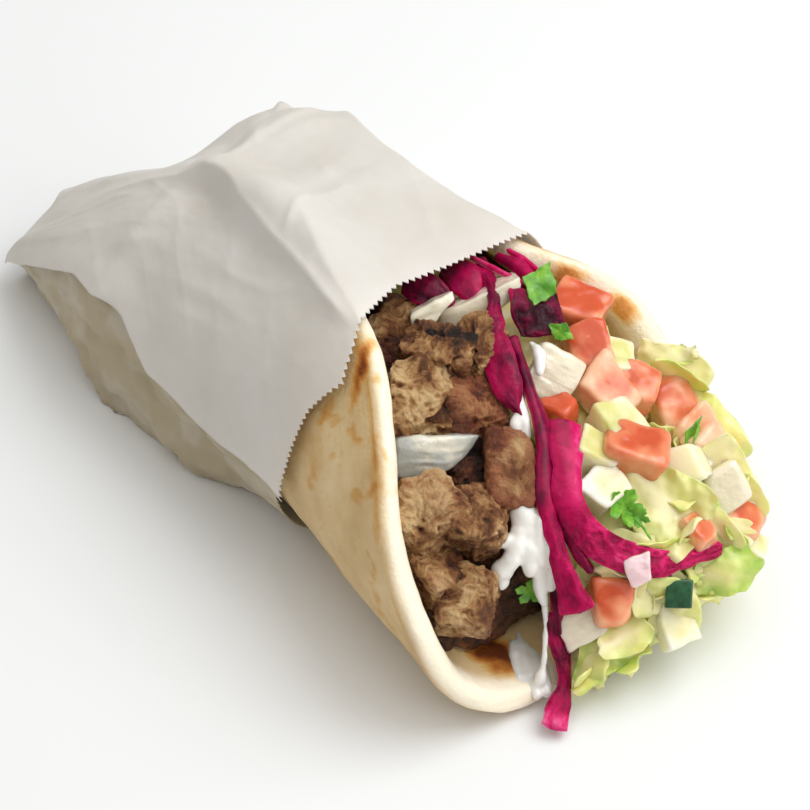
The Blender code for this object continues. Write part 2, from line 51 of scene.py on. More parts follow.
# Section of the roll at its back, middle and front: flat base, then near and far curl.
FLAT_HALF = (5, 14, 14)
NEAR_RADIUS, NEAR_TURN = (20, 24, 24), (215, 172, 141)
FAR_RADIUS, FAR_TURN = (36, 24.5, 60), (265, 158, 70)
SIDE_SHIFT = (-13, 0, -10)
MIDDLE_STATION, BACK_END, FRONT_END = 20, -62, 90
TUCK_START, TUCK_END, TUCK_NEAR_Y = -42, -96, -34
TUCK_WIDTH, TUCK_HEIGHT, TUCK_LENGTH = 0.42, 0.12, 0.2
PAPER_FRONT = 24
# The photograph's view: right, up and towards the viewer, and the point in its middle.
VIEW = np.array([[0.643, 0.766, 0], [-0.551, 0.462, 0.695], [0.532, -0.447, 0.719]])
TARGET = np.array([31.6, -10.8, 40])
# Upper outline of the tail in that view: right and up of the middle.
TAIL_OUTLINE = ((-116, -111.9, -98.1, -95.9, -82, -64.3, -59.6, -52.5, -45.3, -35.2, -20),
                (38, 43.4, 57.2, 63, 64.5, 64.5, 66.4, 71.3, 76.7, 81, 140))
# Toasted marks: place on the flat disc (along, across), length, width, turn, depth of colour,
# and the face they are on: 1 outside, -1 inside.
TOAST = (
    (36.5, -89, 7, 1.5, 60, 0.85, 1), (46, -86, 9, 0.6, 29, 0.42, 1), (60, -76, 8, 0.6, 38, 0.35, 1),
    (67, -69, 5, 0.7, 44, 0.25, 1), (38, -62, 4, 1.2, 60, 0.16, 1), (46, -70, 5, 1, 60, 0.18, 1),
    (33, -74, 3, 1, 60, 0.2, 1), (84.5, -15, 6.5, 2.2, 80, 1.1, -1),
    (88, -10.5, 5.5, 1.6, 15, 0.95, -1), (86, -15, 5, 6, 60, 0.22, -1), (91, -13.5, 4, 3, 60, 0.5, -1),
    (78, -2, 6, 3, 80, 0.45, -1), (35, 93, 3, 4, 20, 0.5, -1), (32, 85, 3, 4, 0, 0.45, -1),
    (46, 88, 2.5, 4, 30, 0.55, -1), (56, 81, 4, 2.2, 40, 0.45, -1), (62, 72, 6, 3, 40, 0.35, -1),
    (20, 60, 12, 8, 0, 0.5, 1), (60, 62, 12, 4, 50, 0.4, 1), (80, 36, 9, 5, 20, 0.45, 1),
    (70, 10, 9, 7, 0, 0.5, 1), (78, -38, 9, 3, 50, 0.3, 1), (30, 30, 14, 9, 10, 0.55, 1),
    (52, 50, 5, 3, 30, 0.6, 1), (40, 74, 6, 3, 60, 0.5, 1), (86, 12, 5, 3, 80, 0.35, 1),
)


def smooth(start, end, x):
    """Ease from 0 at start to 1 at end."""
    t = np.clip((x - start) / (end - start), 0, 1)
    return t * t * (3 - 2 * t)


def bell(x, centre, width):
    """Rounded hump of height 1."""
    return np.exp(-((x - centre) / width) ** 2)


def along(values, x):
    """Blend a (back, middle, front) triple along the roll."""
    back, middle, front = values
    return (middle + (front - middle) * smooth(MIDDLE_STATION, FRONT_END, x)
            + (back - middle) * smooth(MIDDLE_STATION, BACK_END, x))


def xyz(x, y, z):
    """Points from three coordinates, each an array or one number for all."""
    return np.stack(np.broadcast_arrays(x, y, z), axis=-1)


def unit(v):
    """Vectors shortened or stretched to length 1."""
    return v / (np.linalg.norm(v, axis=-1, keepdims=True) + 1e-9)


def heading(x, q):
    """Slope of the bread's middle line at arc distance q from the base: flat, then an even turn."""
    radius = np.where(q > 0, along(FAR_RADIUS, x), along(NEAR_RADIUS, x))
    turn = np.radians(np.where(q > 0, along(FAR_TURN, x), along(NEAR_TURN, x)))
    run = np.hypot(np.maximum(np.abs(q) - along(FLAT_HALF, x), 0), 2) - 2
    return np.sign(q) * turn * np.tanh(run / (radius * turn))


def pressed(x, y, z, room):
    """Push the tail down: no point may stand higher in the photograph's view than the tail's
    outline, less some room.  The lower of height and limit is taken softly, as
    -s log(exp(-z / s) + exp(-limit / s)) with s = 3."""
    dx, dy = x - TARGET[0], y - TARGET[1]
    top = np.interp(VIEW[0, 0] * dx + VIEW[0, 1] * dy, *TAIL_OUTLINE)
    limit = TARGET[2] + (top - VIEW[1, 0] * dx - VIEW[1, 1] * dy) / VIEW[1, 2]
    limit = np.maximum(limit - room, 4)
    return np.minimum(z, 0) - 3 * np.log(np.exp(-np.maximum(z, 0) / 3) + np.exp(-limit / 3))


def bread_point(x, q, out):
    """Walk the arc distance q along the slope, then step out square to it; squeeze the tail."""
    steps = (np.arange(60) + 0.5) / 60
    slope = heading(x[..., None], q[..., None] * steps)
    end = heading(x, q)
    y = np.cos(slope).mean(axis=-1) * q + out * np.sin(end) + along(SIDE_SHIFT, x)
    z = np.sin(slope).mean(axis=-1) * q - out * np.cos(end) + BREAD_THICK / 2
    tuck = smooth(TUCK_START, TUCK_END, x)
    tip = smooth(-52, -84, x)
    y = TUCK_NEAR_Y + (y - TUCK_NEAR_Y) * (1 - TUCK_WIDTH * tuck - 0.2 * tip)
    z = z * (1 - TUCK_HEIGHT * tuck - 0.35 * tip) + FLOOR * smooth(PAPER_FRONT + 2, PAPER_FRONT + 30, x)
    # The near wall stands a little steeper beside the meat.
    y = y + 2.8 * bell(x, 76, 17) * smooth(-12, -32, y) * smooth(50, 22, z)
    x = x + TUCK_LENGTH * np.maximum(TUCK_START - x, 0)
    return xyz(x, y, pressed(x, y, z, 3))


def rough(points, size, seed, octaves):
    """Value noise in -1..1: random numbers on a cubic lattice of the given size, blended
    smoothly between corners, summed over octaves each half as wide and half as deep."""
    table = np.random.default_rng(seed).uniform(-1, 1, 4096)
    total = np.zeros(points.shape[:-1])
    for octave in range(octaves):
        at = points / size * 2 ** octave + 37.7 * (octave + 1)
        cell = np.floor(at).astype(np.int64)
        share = at - cell
        share = share * share * (3 - 2 * share)
        for corner in np.ndindex(2, 2, 2):
            key = cell + np.array(corner)
            key = (key[..., 0] * 73856093) ^ (key[..., 1] * 19349663) ^ (key[..., 2] * 83492791)
            weight = np.where(np.array(corner) == 1, share, 1 - share).prod(axis=-1)
            total += table[key & 4095] * weight / 2 ** octave
    return total


def wall(rows, columns, wrap=False):
    """Quads between neighbours of a grid stored row by row; wrap joins the last column on."""
    i, j = np.meshgrid(np.arange(rows - 1), np.arange(columns - (0 if wrap else 1)), indexing="ij")
    k = (j + 1) % columns
    corners = [i * columns + j, i * columns + k, (i + 1) * columns + k, (i + 1) * columns + j]
    return np.stack(corners, axis=-1).reshape(-1, 4)


def cap(point, ring):
    """Triangles from one point to each side of a closed ring."""
    ring = np.asarray(ring)
    return np.stack([np.full(len(ring), point), ring, np.roll(ring, -1)], axis=-1)


def piece(name, slot, nodes, points, faces, finish, **marks):
    """A finished piece from points in millimetres and arrays of triangles or quads, which rides
    with the part and stands for the named solids.  All faces are turned round where the signed
    volume (sum of corner products) comes out negative.  Nothing goes below the floor."""
    points = np.column_stack([points[:, :2], np.maximum(points[:, 2], FLOOR)])
    volume = 0
    for group in faces:
        for k in range(1, group.shape[1] - 1):
            a, b, c = points[group[:, 0]], points[group[:, k]], points[group[:, k + 1]]
            volume += np.einsum("ij,ij->", a, np.cross(b, c))
    if volume < 0:
        faces = [group[:, ::-1] for group in faces]
    sides = np.concatenate([np.full(len(group), group.shape[1]) for group in faces])
    mesh = bpy.data.meshes.new(name)
    mesh.vertices.add(len(points))
    mesh.vertices.foreach_set("co", ((points + ROLL) * MM).astype(np.float32).ravel())
    mesh.loops.add(int(sides.sum()))
    corners = np.concatenate([group.ravel() for group in faces]).astype(np.int32)
    mesh.loops.foreach_set("vertex_index", corners)
    mesh.polygons.add(len(sides))
    starts = np.concatenate([[0], np.cumsum(sides)[:-1]]).astype(np.int32)
    mesh.polygons.foreach_set("loop_start", starts)
    mesh.update(calc_edges=True)
    mesh.shade_smooth()
    for mark, values in marks.items():
        layer = mesh.attributes.new(mark, "FLOAT", "POINT")
        layer.data.foreach_set("value", np.asarray(values, np.float32).ravel())
    mesh.materials.append(finish)
    made = bpy.data.objects.new(name, mesh)
    bpy.context.scene.collection.objects.link(made)
    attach(made, "root")
    if nodes:
        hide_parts(*nodes)


def tube(name, slot, nodes, rings, finish, **marks):
    """A piece from stacked rings, closed by a point at each end (stored last)."""
    rows, size, _ = rings.shape
    faces = [wall(rows, size, wrap=True), cap(rows * size, np.arange(size)[::-1]),
             cap(rows * size + 1, (rows - 1) * size + np.arange(size))]
    points = np.concatenate([rings.reshape(-1, 3), rings[[0, -1]].mean(axis=1)])
    piece(name, slot, nodes, points, faces, finish, **marks)


def colour(code):
    """Turn an sRGB hex colour into the linear numbers that the shaders take."""
    part = np.array([int(code[i:i + 2], 16) for i in (1, 3, 5)]) / 255
    return (*np.where(part <= 0.04045, part / 12.92, ((part + 0.055) / 1.055) ** 2.4), 1)


def node(tree, kind, links=None, stops=None, out=0, **settings):
    """Add one node and return one of its outputs: settings go to its properties, links to its
    inputs, stops to its ramp."""
    made = tree.nodes.new("ShaderNode" + kind)
    for name, value in settings.items():
        setattr(made, name, value)
    for socket, value in (links or {}).items():
        if isinstance(value, bpy.types.NodeSocket):
            tree.links.new(value, made.inputs[socket])
        else:
            made.inputs[socket].default_value = value
    for i, (at, code) in enumerate((stops or {}).items()):
        ramp = made.color_ramp.elements
        stop = ramp[i] if i < 2 else ramp.new(at)
        stop.position, stop.color = at, colour(code)
    return made.outputs[out]


def skin(name, *grains, bump=(0, 0), **sockets):
    """Start a material.  Values that are the same all over go on the shader's own sockets.  Each
    grain is a noise: size in mm, detail, roughness and distortion.  The last one raises the
    surface by bump: its strength, and its height in mm."""
    made = bpy.data.materials.new(name)
    made.use_nodes = True
    tree = made.node_tree
    shader = tree.nodes["Principled BSDF"]
    for socket, value in sockets.items():
        shader.inputs[socket.replace("_", " ")].default_value = value
    noises = []
    for size, *rest in grains:
        inputs = dict(zip(("Detail", "Roughness", "Distortion"), rest))
        inputs.update({"Vector": node(tree, "TexCoord", out="Object"), "Scale": 1 / (size * MM)})
        noises.append(node(tree, "TexNoise", inputs))
    if bump[0]:
        raised = node(tree, "Bump", {"Height": noises[-1], "Strength": bump[0], "Distance": bump[1] * MM})
        tree.links.new(raised, shader.inputs["Normal"])
    return made, tree, shader, noises


def mixed(tree, mark, one, other):
    """Blend two colours by a mark that the piece's points carry."""
    share = node(tree, "Attribute", out="Fac", attribute_name=mark)
    return node(tree, "Mix", {0: share, 6: one, 7: other}, out=2, data_type="RGBA")


# Baked bread crust: matt, slightly see-through crumb under a dry skin, clouded, flecked and
# finely pitted, and toasted where its own marks say.
bread_skin, tree, shader, (cloud, fleck, _) = skin(
    "baked flatbread crust", (23.8, 5, 0.6), (2.38, 4, 0.65), (1.111, 3), bump=(0.5, 0.6),
    Roughness=0.62, Subsurface_Weight=0.12, Subsurface_Radius=(1, 0.6, 0.3),
    Subsurface_Scale=0.002, Specular_IOR_Level=0.3)
ground = node(tree, "ValToRGB", {"Fac": cloud}, {0.3: "#C6A472", 0.52: "#D9BC8B", 0.75: "#E6CFA5"})
ground = mixed(tree, "pale", ground, colour("#FFF2DA"))
toast = node(tree, "Attribute", out="Fac", attribute_name="toast")
ragged = node(tree, "Math", {0: fleck, 1: 0.3, 2: -0.15}, operation="MULTIPLY_ADD")
depth = node(tree, "Math", {0: toast, 1: ragged}, operation="ADD")
baked = node(tree, "ValToRGB", {"Fac": depth},
             {0.1: "#FFFFFF", 0.3: "#F6DCB0", 0.5: "#E0A763", 0.78: "#AC6A30", 1: "#7A431B"})
shade = node(tree, "Mix", {0: 1, 6: ground, 7: baked}, out=2, data_type="RGBA", blend_type="MULTIPLY")
tree.links.new(shade, shader.inputs["Base Color"])


def bread_disc(turns=640):
    """The disc in polar grid lines: out along the outer face, round the rim in a half ellipse,
    back along the inner face; each point is pushed along its own normal by noise blisters."""
    inner = BREAD_RADIUS - BREAD_RIM
    radii = inner * np.linspace(0.02, 1, 46) ** 0.8
    bend = np.radians(np.linspace(80, -80, 11))
    rho = np.concatenate([radii, inner + BREAD_RIM * np.cos(bend), radii[::-1]])[:, None]
    up = np.concatenate([np.ones(46), np.sin(bend), -np.ones(46)])[:, None]
    side = np.concatenate([np.zeros(46), np.cos(bend), np.zeros(46)])[:, None]
    angle = np.arange(turns) * 2 * np.pi / turns
    at = xyz(rho * np.cos(angle), rho * np.sin(angle), up * BREAD_THICK * 2)
    lift = 0.45 * rough(at, 17, 3, 3) + 0.16 * rough(at, 4.5, 4, 2)
    waves = 0.7 * rough(at * (1, 1, 0), 30, 8, 2)
    rho = rho + side * lift + waves * smooth(60, BREAD_RADIUS, rho)
    out = up * BREAD_THICK / 2 + up * lift
    x, q = rho * np.cos(angle), rho * np.sin(angle)
    # The blisters are flatter on the face that lies on the floor.
    lying = 0.7 * bell(heading(x, q - BREAD_OFFSET), 0, 0.5) * (up > 0.9)
    return x, q, out + (up * BREAD_THICK / 2 - out) * lying, up


x, q, out, up = bread_disc()
flat = xyz(x, q, 4 * up)
edge = bell(np.hypot(x, q), BREAD_RADIUS - 3.2, 1.1) * (up > 0.1)
mark = 0.2 * edge * smooth(-0.3, 0.6, rough(flat, 12, 21, 2)) + 0.04
mark = mark + 0.26 * smooth(0.35, 0.9, rough(flat, 4, 22, 3)) * (up > 0.5)
mark = mark + 0.12 * smooth(0.2, 0.9, rough(flat, 14, 23, 3))
rim_pale = smooth(BREAD_RADIUS - 6, BREAD_RADIUS - 1, np.hypot(x, q) - 3.2 * up)
for centre_x, centre_q, length, width, turn, deep, face in TOAST:
    turn = np.radians(turn)
    ahead = (x - centre_x) * np.cos(turn) + (q - centre_q) * np.sin(turn)
    aside = (q - centre_q) * np.cos(turn) - (x - centre_x) * np.sin(turn)
    blot = (ahead / length) ** 2 + (aside / width) ** 2 + 0.5 * rough(flat, 5, int(centre_x), 3)
    mark = mark + deep * np.exp(-np.maximum(blot, 0)) * smooth(-0.4, 0.4, face * up)
tube("flatbread_crust", "flatbread", ["flatbread"], bread_point(x, q - BREAD_OFFSET, out), bread_skin,
     toast=np.append(mark, (0, 0)), pale=np.append(rim_pale, (0, 0)))

# ------------------------------------------------------------------------------------ paper wrap
# One sheet of greaseproof paper with a pinked front edge, wound a little over once round the
# roll: its last edge lies loose on the near side, and the tail is pressed flat and folded.
PAPER_THICK, PAPER_BACK = 0.28, -108.5
PAPER_START_TURN, PAPER_END_TURN = 150, 560
TAIL_START, TAIL_MIDDLE, TAIL_HALF, TAIL_HEIGHT = -55, -15, 24.5, 22
TOOTH = 2                                  # width of one tooth of the pinked edge
GAP, CAD_PAPER = 0.35, 0.5                 # room between layers, and the solid sheet's thickness
WRAP_MIDDLE, TAIL_SINK = np.array([-2, 38]), np.array([-16, -29])
DEGREE = 0.75                              # millimetres of sheet for each degree of its turn
# Sharp creases in the sheet: station and turn of both ends, height and half width.
CREASES = (
    (-47, 467, 24, 481, 2.6, 4), (-8, 471, -13.6, 453, 0.8, 0.9), (-13.6, 453, -16.4, 432, 0.6, 0.8),
    (-8, 471, -22, 496, 0.7, 2.5), (-78, 487, -47, 467, 1.4, 4), (-95, 508, -66, 488, 0.8, 3),
    (-60, 440, -84, 470, 1.5, 4), (-47, 467, -55, 420, 1.6, 5), (-20, 505, 8, 536, 0.2, 2),
    (-40, 500, -6, 540, 0.25, 1.6), (-56, 505, -26, 540, 0.25, 2), (-75, 505, -50, 535, 0.35, 2),
    (2, 496, 16, 520, 0.2, 2), (-30, 480, -14, 500, 0.3, 2), (-64, 476, -40, 498, 0.5, 3),
    (-60, 196, 4, 206, -1.6, 2), (-56, 205, -10, 216, 1.2, 2.5), (-36, 186, -8, 196, 1, 2.5),
    (-50, 222, -20, 232, 2.2, 2), (-70, 200, -30, 240, 2.4, 2), (-90, 190, -60, 215, 1.6, 2),
    (-30, 205, 6, 238, 2, 1.8), (-6, 192, 14, 210, 1.6, 1.6), (-64, 232, -40, 205, 1.8, 1.6),
    (-8, 215, 10, 245, 0.8, 2.5), (-20, 230, -4, 212, 0.9, 2), (-84, 400, -50, 430, 1.4, 4),
    (-20, 400, 14, 425, 0.4, 2), (-30, 425, 0, 440, 0.5, 3), (-88, 455, -100, 480, 1.2, 2.5),
    (-60, 300, -20, 340, 0.9, 3), (-90, 320, -50, 370, 1.1, 4), (-30, 330, 10, 370, 0.6, 3),
    (-70, 360, -30, 385, 1, 3), (-50, 260, -10, 300, 0.7, 3),
)
# The sheet's last edge: stations along the roll and its turn there.
LAST_EDGE = ((-108, -92, -80, -65, -54, -42, -34, -28, -12, 2, 14, 24, 34),
             (545, 538, 535, 532, 536, 539, 545, 551, 552, 553, 550, 548, 550))


def ridged(points, size, seed, octaves):
    """Sharp ridges along the lines where the noise changes sign."""
    return 0.4 - np.abs(rough(points, size, seed, octaves))


def roll_outline(x, angles, centre):
    """Tight outline round the bread's section: for each direction the nearest of the lines
    that touch the section from outside."""
    inner_x = x if x > TUCK_START else TUCK_START + (x - TUCK_START) / (1 - TUCK_LENGTH)
    inner_x = max(inner_x, -94)
    q = np.linspace(-1, 1, 121) * np.sqrt(max(BREAD_RADIUS ** 2 - inner_x ** 2, 0))
    around = bread_point(np.full(121, inner_x), q - BREAD_OFFSET, np.full(121, BREAD_THICK / 2))
    y, z = around[:, 1] - centre[0], around[:, 2] - centre[1]
    normal = np.radians(np.arange(0, 360, 3))
    reach = (y[:, None] * np.cos(normal) + z[:, None] * np.sin(normal)).max(axis=0)
    facing = np.cos(normal[None] - angles[:, None])
    return np.where(facing > 0.15, reach[None] / np.maximum(facing, 0.15), 1e9).min(axis=1)


def paper_row(x, turn):
    """One section of the sheet: the roll's outline, with room for each layer and its slack."""
    angle = np.radians(turn)
    base = max(x, TAIL_START)
    back = smooth(TUCK_START, PAPER_BACK + 10, base)
    centre = WRAP_MIDDLE + TAIL_SINK * back
    radius = roll_outline(base, angle, centre)
    layer = smooth(462, 505, turn) * (CAD_PAPER + GAP + 0.3)
    loose = 10 * bell(turn, 226, 18) * bell(x, -34, 38)
    peak = 15 * bell(turn, 408, 20) * bell(x, -66, 20)
    ridge = 8 * bell(turn, 465, 12) * bell(base, -24, 28)
    slack = 1.25 + 4 * smooth(-40, -70, base) + 0.8 * smooth(8, PAPER_FRONT, x)
    radius = radius + slack + layer + loose + peak + ridge
    # The sheet's last edge stands off a little, more towards the tail.
    last = np.interp(x, *LAST_EDGE)
    radius = radius + (0.9 + 1.6 * smooth(0, -60, x)) * smooth(last - 16, last, turn)
    # Relief: broad buckles, then fine crumples, and the creases as sharp low ridges.
    station = np.full(turn.size, x)
    sheet = xyz(station, turn * DEGREE, 0)
    slanted = sheet @ np.array([[0.8, 0.35, 0], [-0.25, 1, 0], [0, 0, 1]]) * (0.45, 1, 1)
    radius = radius + (0.7 + 0.5 * bell(turn, 400, 70)) * rough(slanted, 22, 31, 2) * smooth(24, 0, x)
    radius = radius + 0.45 * ridged(slanted, 9, 32, 2) * smooth(24, 10, x)
    radius = radius + 0.1 * rough(sheet, 2.6, 33, 2)
    crumple = ridged(sheet * (0.7, 1, 1), 8, 38, 3)
    radius = radius + 2.8 * crumple * bell(turn, 225, 42) * smooth(16, -4, x)
    for x0, t0, x1, t1, height, width in CREASES:
        ahead = np.array([x1 - x0, (t1 - t0) * DEGREE])
        length = np.hypot(*ahead)
        ahead = ahead / length
        step = np.stack([station - x0, (turn - t0) * DEGREE], axis=-1)
        run = step @ ahead
        off = step @ np.array([-ahead[1], ahead[0]]) + 1.5 * rough(sheet, 14, 34, 1)
        fade = smooth(-6, 4, run) * smooth(length + 6, length - 4, run)
        radius = radius + height * np.exp(-np.abs(off) / width) * fade
    y = centre[0] + radius * np.cos(angle)
    z = centre[1] + radius * np.sin(angle)
    # Past the bread the sheet runs straight to its end, which is pressed into a low arch.
    away = max((TAIL_START - x) / (TAIL_START - PAPER_BACK), 0) ** 1.2
    arch = np.where(np.sin(angle) > 0, TAIL_HEIGHT * np.sin(angle), 1.2 * np.sin(angle))
    relief = 0.5 * (radius - roll_outline(base, angle, centre) - slack)
    arch_y = TAIL_MIDDLE + (TAIL_HALF + relief) * np.cos(angle) - 4 * np.maximum(np.sin(angle), 0)
    arch = arch + 8 * smooth(-0.75, -1, np.cos(angle))
    y = y + away * (arch_y - y)
    z = pressed(station, y, z + away * (1 + arch + relief * np.sin(angle) - z), 0)
    return xyz(station, y, np.maximum(z, -GAP - 0.2))


# Columns lie a tooth's half width apart along the front edge, so tips and notches alternate.
fine = np.linspace(PAPER_START_TURN, PAPER_END_TURN, 1500)
front = paper_row(PAPER_FRONT, fine)
sheet_length = np.concatenate([[0], np.cumsum(np.linalg.norm(np.diff(front, axis=0), axis=1))])
columns = int(sheet_length[-1] / TOOTH) * 2 + 1
wrap_turn = np.interp(np.linspace(0, sheet_length[-1], columns), sheet_length, fine)
# The near part of the front edge comes further forward; each column runs from there to the tail.
lead = np.interp(wrap_turn, (458, 470, 480, 490, 502, 510, 520, 560), (0, 2.5, 5, 8.5, 12, 9.5, 7, 6))
stations = PAPER_FRONT + (PAPER_BACK - PAPER_FRONT) * np.linspace(0, 1, 140) ** 1.1
fine_x = np.linspace(PAPER_BACK, PAPER_FRONT + 10, 150)
near_edge = smooth(466, PAPER_END_TURN, wrap_turn)
layout = np.array([paper_row(x, wrap_turn + (np.interp(x, *LAST_EDGE) - PAPER_END_TURN) * near_edge)
                   for x in fine_x])
wrap = np.empty((len(stations), columns, 3))
for j in range(columns):
    x = stations + lead[j] * smooth(-30, PAPER_FRONT, stations)
    wrap[:, j] = xyz(x, *(np.interp(x, fine_x, layout[:, j, k]) for k in (1, 2)))
tooth = 0.75 * np.where(np.arange(columns) % 2 == 0, 1, -1)
tooth = tooth * (0.8 + 0.3 * rough(wrap[0], 5, 35, 1))
wander = 0.9 * rough(wrap[0], 30, 36, 1)
along_edge = stations[:, None] - PAPER_FRONT
wrap[:, :, 0] += tooth * np.exp(along_edge / 0.6) + wander * np.exp(along_edge / 2.5)
normal = unit(np.cross(np.gradient(wrap, axis=0), np.gradient(wrap, axis=1)))
inner = wrap - normal * PAPER_THICK
if np.abs(inner[:, :, 1:] - WRAP_MIDDLE).sum() > np.abs(wrap[:, :, 1:] - WRAP_MIDDLE).sum():
    inner = wrap + normal * PAPER_THICK
rings = np.concatenate([wrap, inner[:, ::-1]], axis=1)
rows, size, _ = rings.shape
ends = []
for row in (0, rows - 1):
    j = row * size + np.arange(columns - 1)
    mate = row * size + size - 1 - np.arange(columns - 1)
    quad = np.stack([j, mate, mate - 1, j + 1], axis=-1)
    ends.append(quad if row == 0 else quad[:, ::-1])
# The lower layer, low on the near side and facing down, is painted a darker warm tan in patches: painted
# shade, with the bread's warm colour showing through.
tint = smooth(330, 240, wrap_turn) * (0.72 + 0.28 * smooth(0.5, -0.3, rough(wrap, 8, 39, 3)))

# Greaseproof paper: thin, off-white, half see-through, with a soft calendered sheen.
paper_skin, tree, shader, (cloud, _) = skin(
    "greaseproof paper", (35.7, 5, 0.55), (1.429, 3), bump=(0.12, 0.3), Roughness=0.48,
    Specular_IOR_Level=0.35, Subsurface_Weight=0.25, Subsurface_Radius=(1, 0.9, 0.75),
    Subsurface_Scale=0.003)
ground = node(tree, "ValToRGB", {"Fac": cloud}, {0.3: "#D6CEC3", 0.55: "#E0D9D0", 0.8: "#E7E2DB"})
# The darker tan that the tint mark brings in is painted shade on the lower layer.
tree.links.new(mixed(tree, "tint", ground, colour("#B5A587")), shader.inputs["Base Color"])
piece("greaseproof_wrap", "paper", ["paper_wrap"], rings.reshape(-1, 3),
      [wall(rows, size, wrap=True), *ends], paper_skin,
      tint=np.concatenate([tint, tint[:, ::-1]], axis=1))

# ------------------------------------------------------------------------------------ meat
# Chunks of grilled meat, cut and torn along the grain: brown crusted outside, greyish tan where
# torn open, a little greasy.  They lie on a bed of the same meat that fills the near side.
# Place, size, yaw and pitch, how torn, tone from pale 0 to dark 1, and how much red glaze.
MEAT = (
    ((24, -6, 54), (17, 15, 14), (20, 10), 0.9, 0.52, 0.3),
    ((32, -13, 52), (16, 13, 14), (-60, 20), 0.8, 0.5, 0.9),
    ((38, -5, 59), (18, 15, 14), (35, 0), 1.2, 0.52, 0.1),
    ((43, 3, 60), (14, 14, 12), (10, 15), 1.1, 0.34, 0),
    ((44, -17, 54), (20, 17, 15), (-35, 25), 1.2, 0.27, 0),
    ((53, -7, 52), (15, 15, 14), (60, 10), 0.9, 0.4, 0.8),
    ((69.3, -10, 47.8), (20, 12, 13.5), (-42, 36), 0.35, 0.26, 0.95),
    ((60, -14, 42), (16, 16, 14), (15, 20), 0.9, 0.8, 0.5),
    ((66, -34, 45), (18, 17, 15), (-20, 15), 1, 0.2, 0.3),
    ((73.5, -25, 42), (17, 14, 15), (50, 10), 0.9, 0.34, 0.3),
    ((74.5, -38, 34), (15, 13, 14), (0, 20), 0.9, 0.42, 0.4),
    ((83.2, -35.4, 31.3), (16.5, 14, 13), (-55, 25), 0.9, 0.3, 0.15),
)


def cube_shell(cuts):
    """Unit directions over a cube's six cut-up faces, each shared point kept once, and quads."""
    line = np.tan(np.linspace(-1, 1, cuts + 1) * np.pi / 4)
    u, v = np.meshgrid(line, line, indexing="ij")
    grids, quads = [], []
    for axis in range(3):
        for sign in (-1, 1):
            face = np.stack([np.full(u.shape, sign), u, v], axis=-1)
            grids.append(np.roll(face, axis, axis=-1).reshape(-1, 3))
            step = wall(cuts + 1, cuts + 1) + (len(grids) - 1) * u.size
            quads.append(step if sign > 0 else step[:, ::-1])
    points = np.concatenate(grids)
    _, first, back = np.unique(np.round(points * 1e6).astype(int), axis=0, return_index=True,
                               return_inverse=True)
    points = points[first]
    quads = back.reshape(-1)[np.concatenate(quads)]
    return unit(points), quads


def spin(yaw, pitch, roll=0):
    """Turn matrix from yaw about Z, then pitch about Y, then roll about X, in degrees."""
    return np.array(Euler(np.radians((roll, pitch, yaw)), "XYZ").to_matrix())


def hewn(ray, size, seed, tilt, chips, soft):
    """Knife-cut block: along each ray the reach to the nearest of its cut planes, as a power
    mean that rounds the edges: 1 / (sum of max(n.ray / d, 0) ^ soft) ^ (1 / soft).  The six box
    planes are tilted at random and some corners are chipped off."""
    draw = np.random.default_rng(seed)
    half = np.array(size) / 2
    normals = np.concatenate([np.eye(3), -np.eye(3)]) + draw.normal(0, tilt, (6, 3))
    corners = draw.choice((-1, 1), (chips, 3)) * draw.uniform(0.2, 1, (chips, 3))
    normals = unit(np.concatenate([normals, corners]))
    reach = np.concatenate([half, half, 0.84 * (np.abs(normals[6:]) * half).sum(axis=1)])
    share = np.maximum(ray @ normals.T, 0) / reach
    return ray / ((share ** soft).sum(axis=1) ** (1 / soft))[:, None]


def toned(name, stops, swing, *grains, **settings):
    """A material whose ramp of colours is read at the piece's own tone plus the first grain's
    noise times one number of the swing and plus its other."""
    made, tree, shader, noises = skin(name, *grains, **settings)
    tone = node(tree, "Attribute", out="Fac", attribute_name="tone")
    swung = node(tree, "Math", {0: noises[0], 1: swing[0], 2: swing[1]}, operation="MULTIPLY_ADD")
    level = node(tree, "Math", {0: tone, 1: swung}, operation="ADD")
    ramp = node(tree, "ValToRGB", {"Fac": level}, stops)
    tree.links.new(ramp, shader.inputs["Base Color"])
    return made, tree, shader, level, ramp


# Grilled meat: rough torn fibres with a thin film of fat, and a redder glaze on the crust.
meat_skin, tree, shader, level, brown = toned(
    "grilled meat", {0: "#D9B684", 0.25: "#AE8150", 0.5: "#7A4A25", 0.75: "#4A2811", 1: "#200F06"},
    (1.6, -0.78), (4.76, 9, 0.72, 0.8), (0.909, 5, 0.7), bump=(1, 1.1), Roughness=0.36,
    Subsurface_Weight=0.12, Subsurface_Radius=(1, 0.45, 0.25), Subsurface_Scale=0.0015,
    Specular_IOR_Level=0.5)
crust = node(tree, "ValToRGB", {"Fac": level},
             {0: "#A8683F", 0.35: "#86452A", 0.65: "#5E2A18", 1: "#220D06"})
tree.links.new(mixed(tree, "glaze", brown, crust), shader.inputs["Base Color"])


def crumbly(points, seed, torn):
    """Depth of torn meat: broad lumps, ragged ridges and pits on warped noise, and grain. Also returns
    how deep in a pit and how high on a ridge each point lies; the colour uses these for painted shade in
    the pits and painted light on the ridges."""
    at = points + 1.7 * xyz(*(rough(points, 5, seed + k, 2) for k in range(3)))
    pits = smooth(0.35, 0.95, rough(at, 3.6, seed + 4, 2))
    ridges = ridged(at, 3, seed + 5, 3)
    shreds = ridged(at * (1, 0.35, 1), 1.6, seed + 7, 2)
    depth = torn * (1.5 * rough(at, 6.5, seed + 3, 2) + 0.55 * ridges + 0.75 * shreds - 1.1 * pits)
    grains = ridged(at, 1.3, seed + 8, 2)
    depth = depth + 0.35 * torn * grains + 0.14 * rough(points, 0.9, seed + 6, 2)
    return depth, pits, 0.7 * ridges + 0.8 * shreds + 0.5 * grains


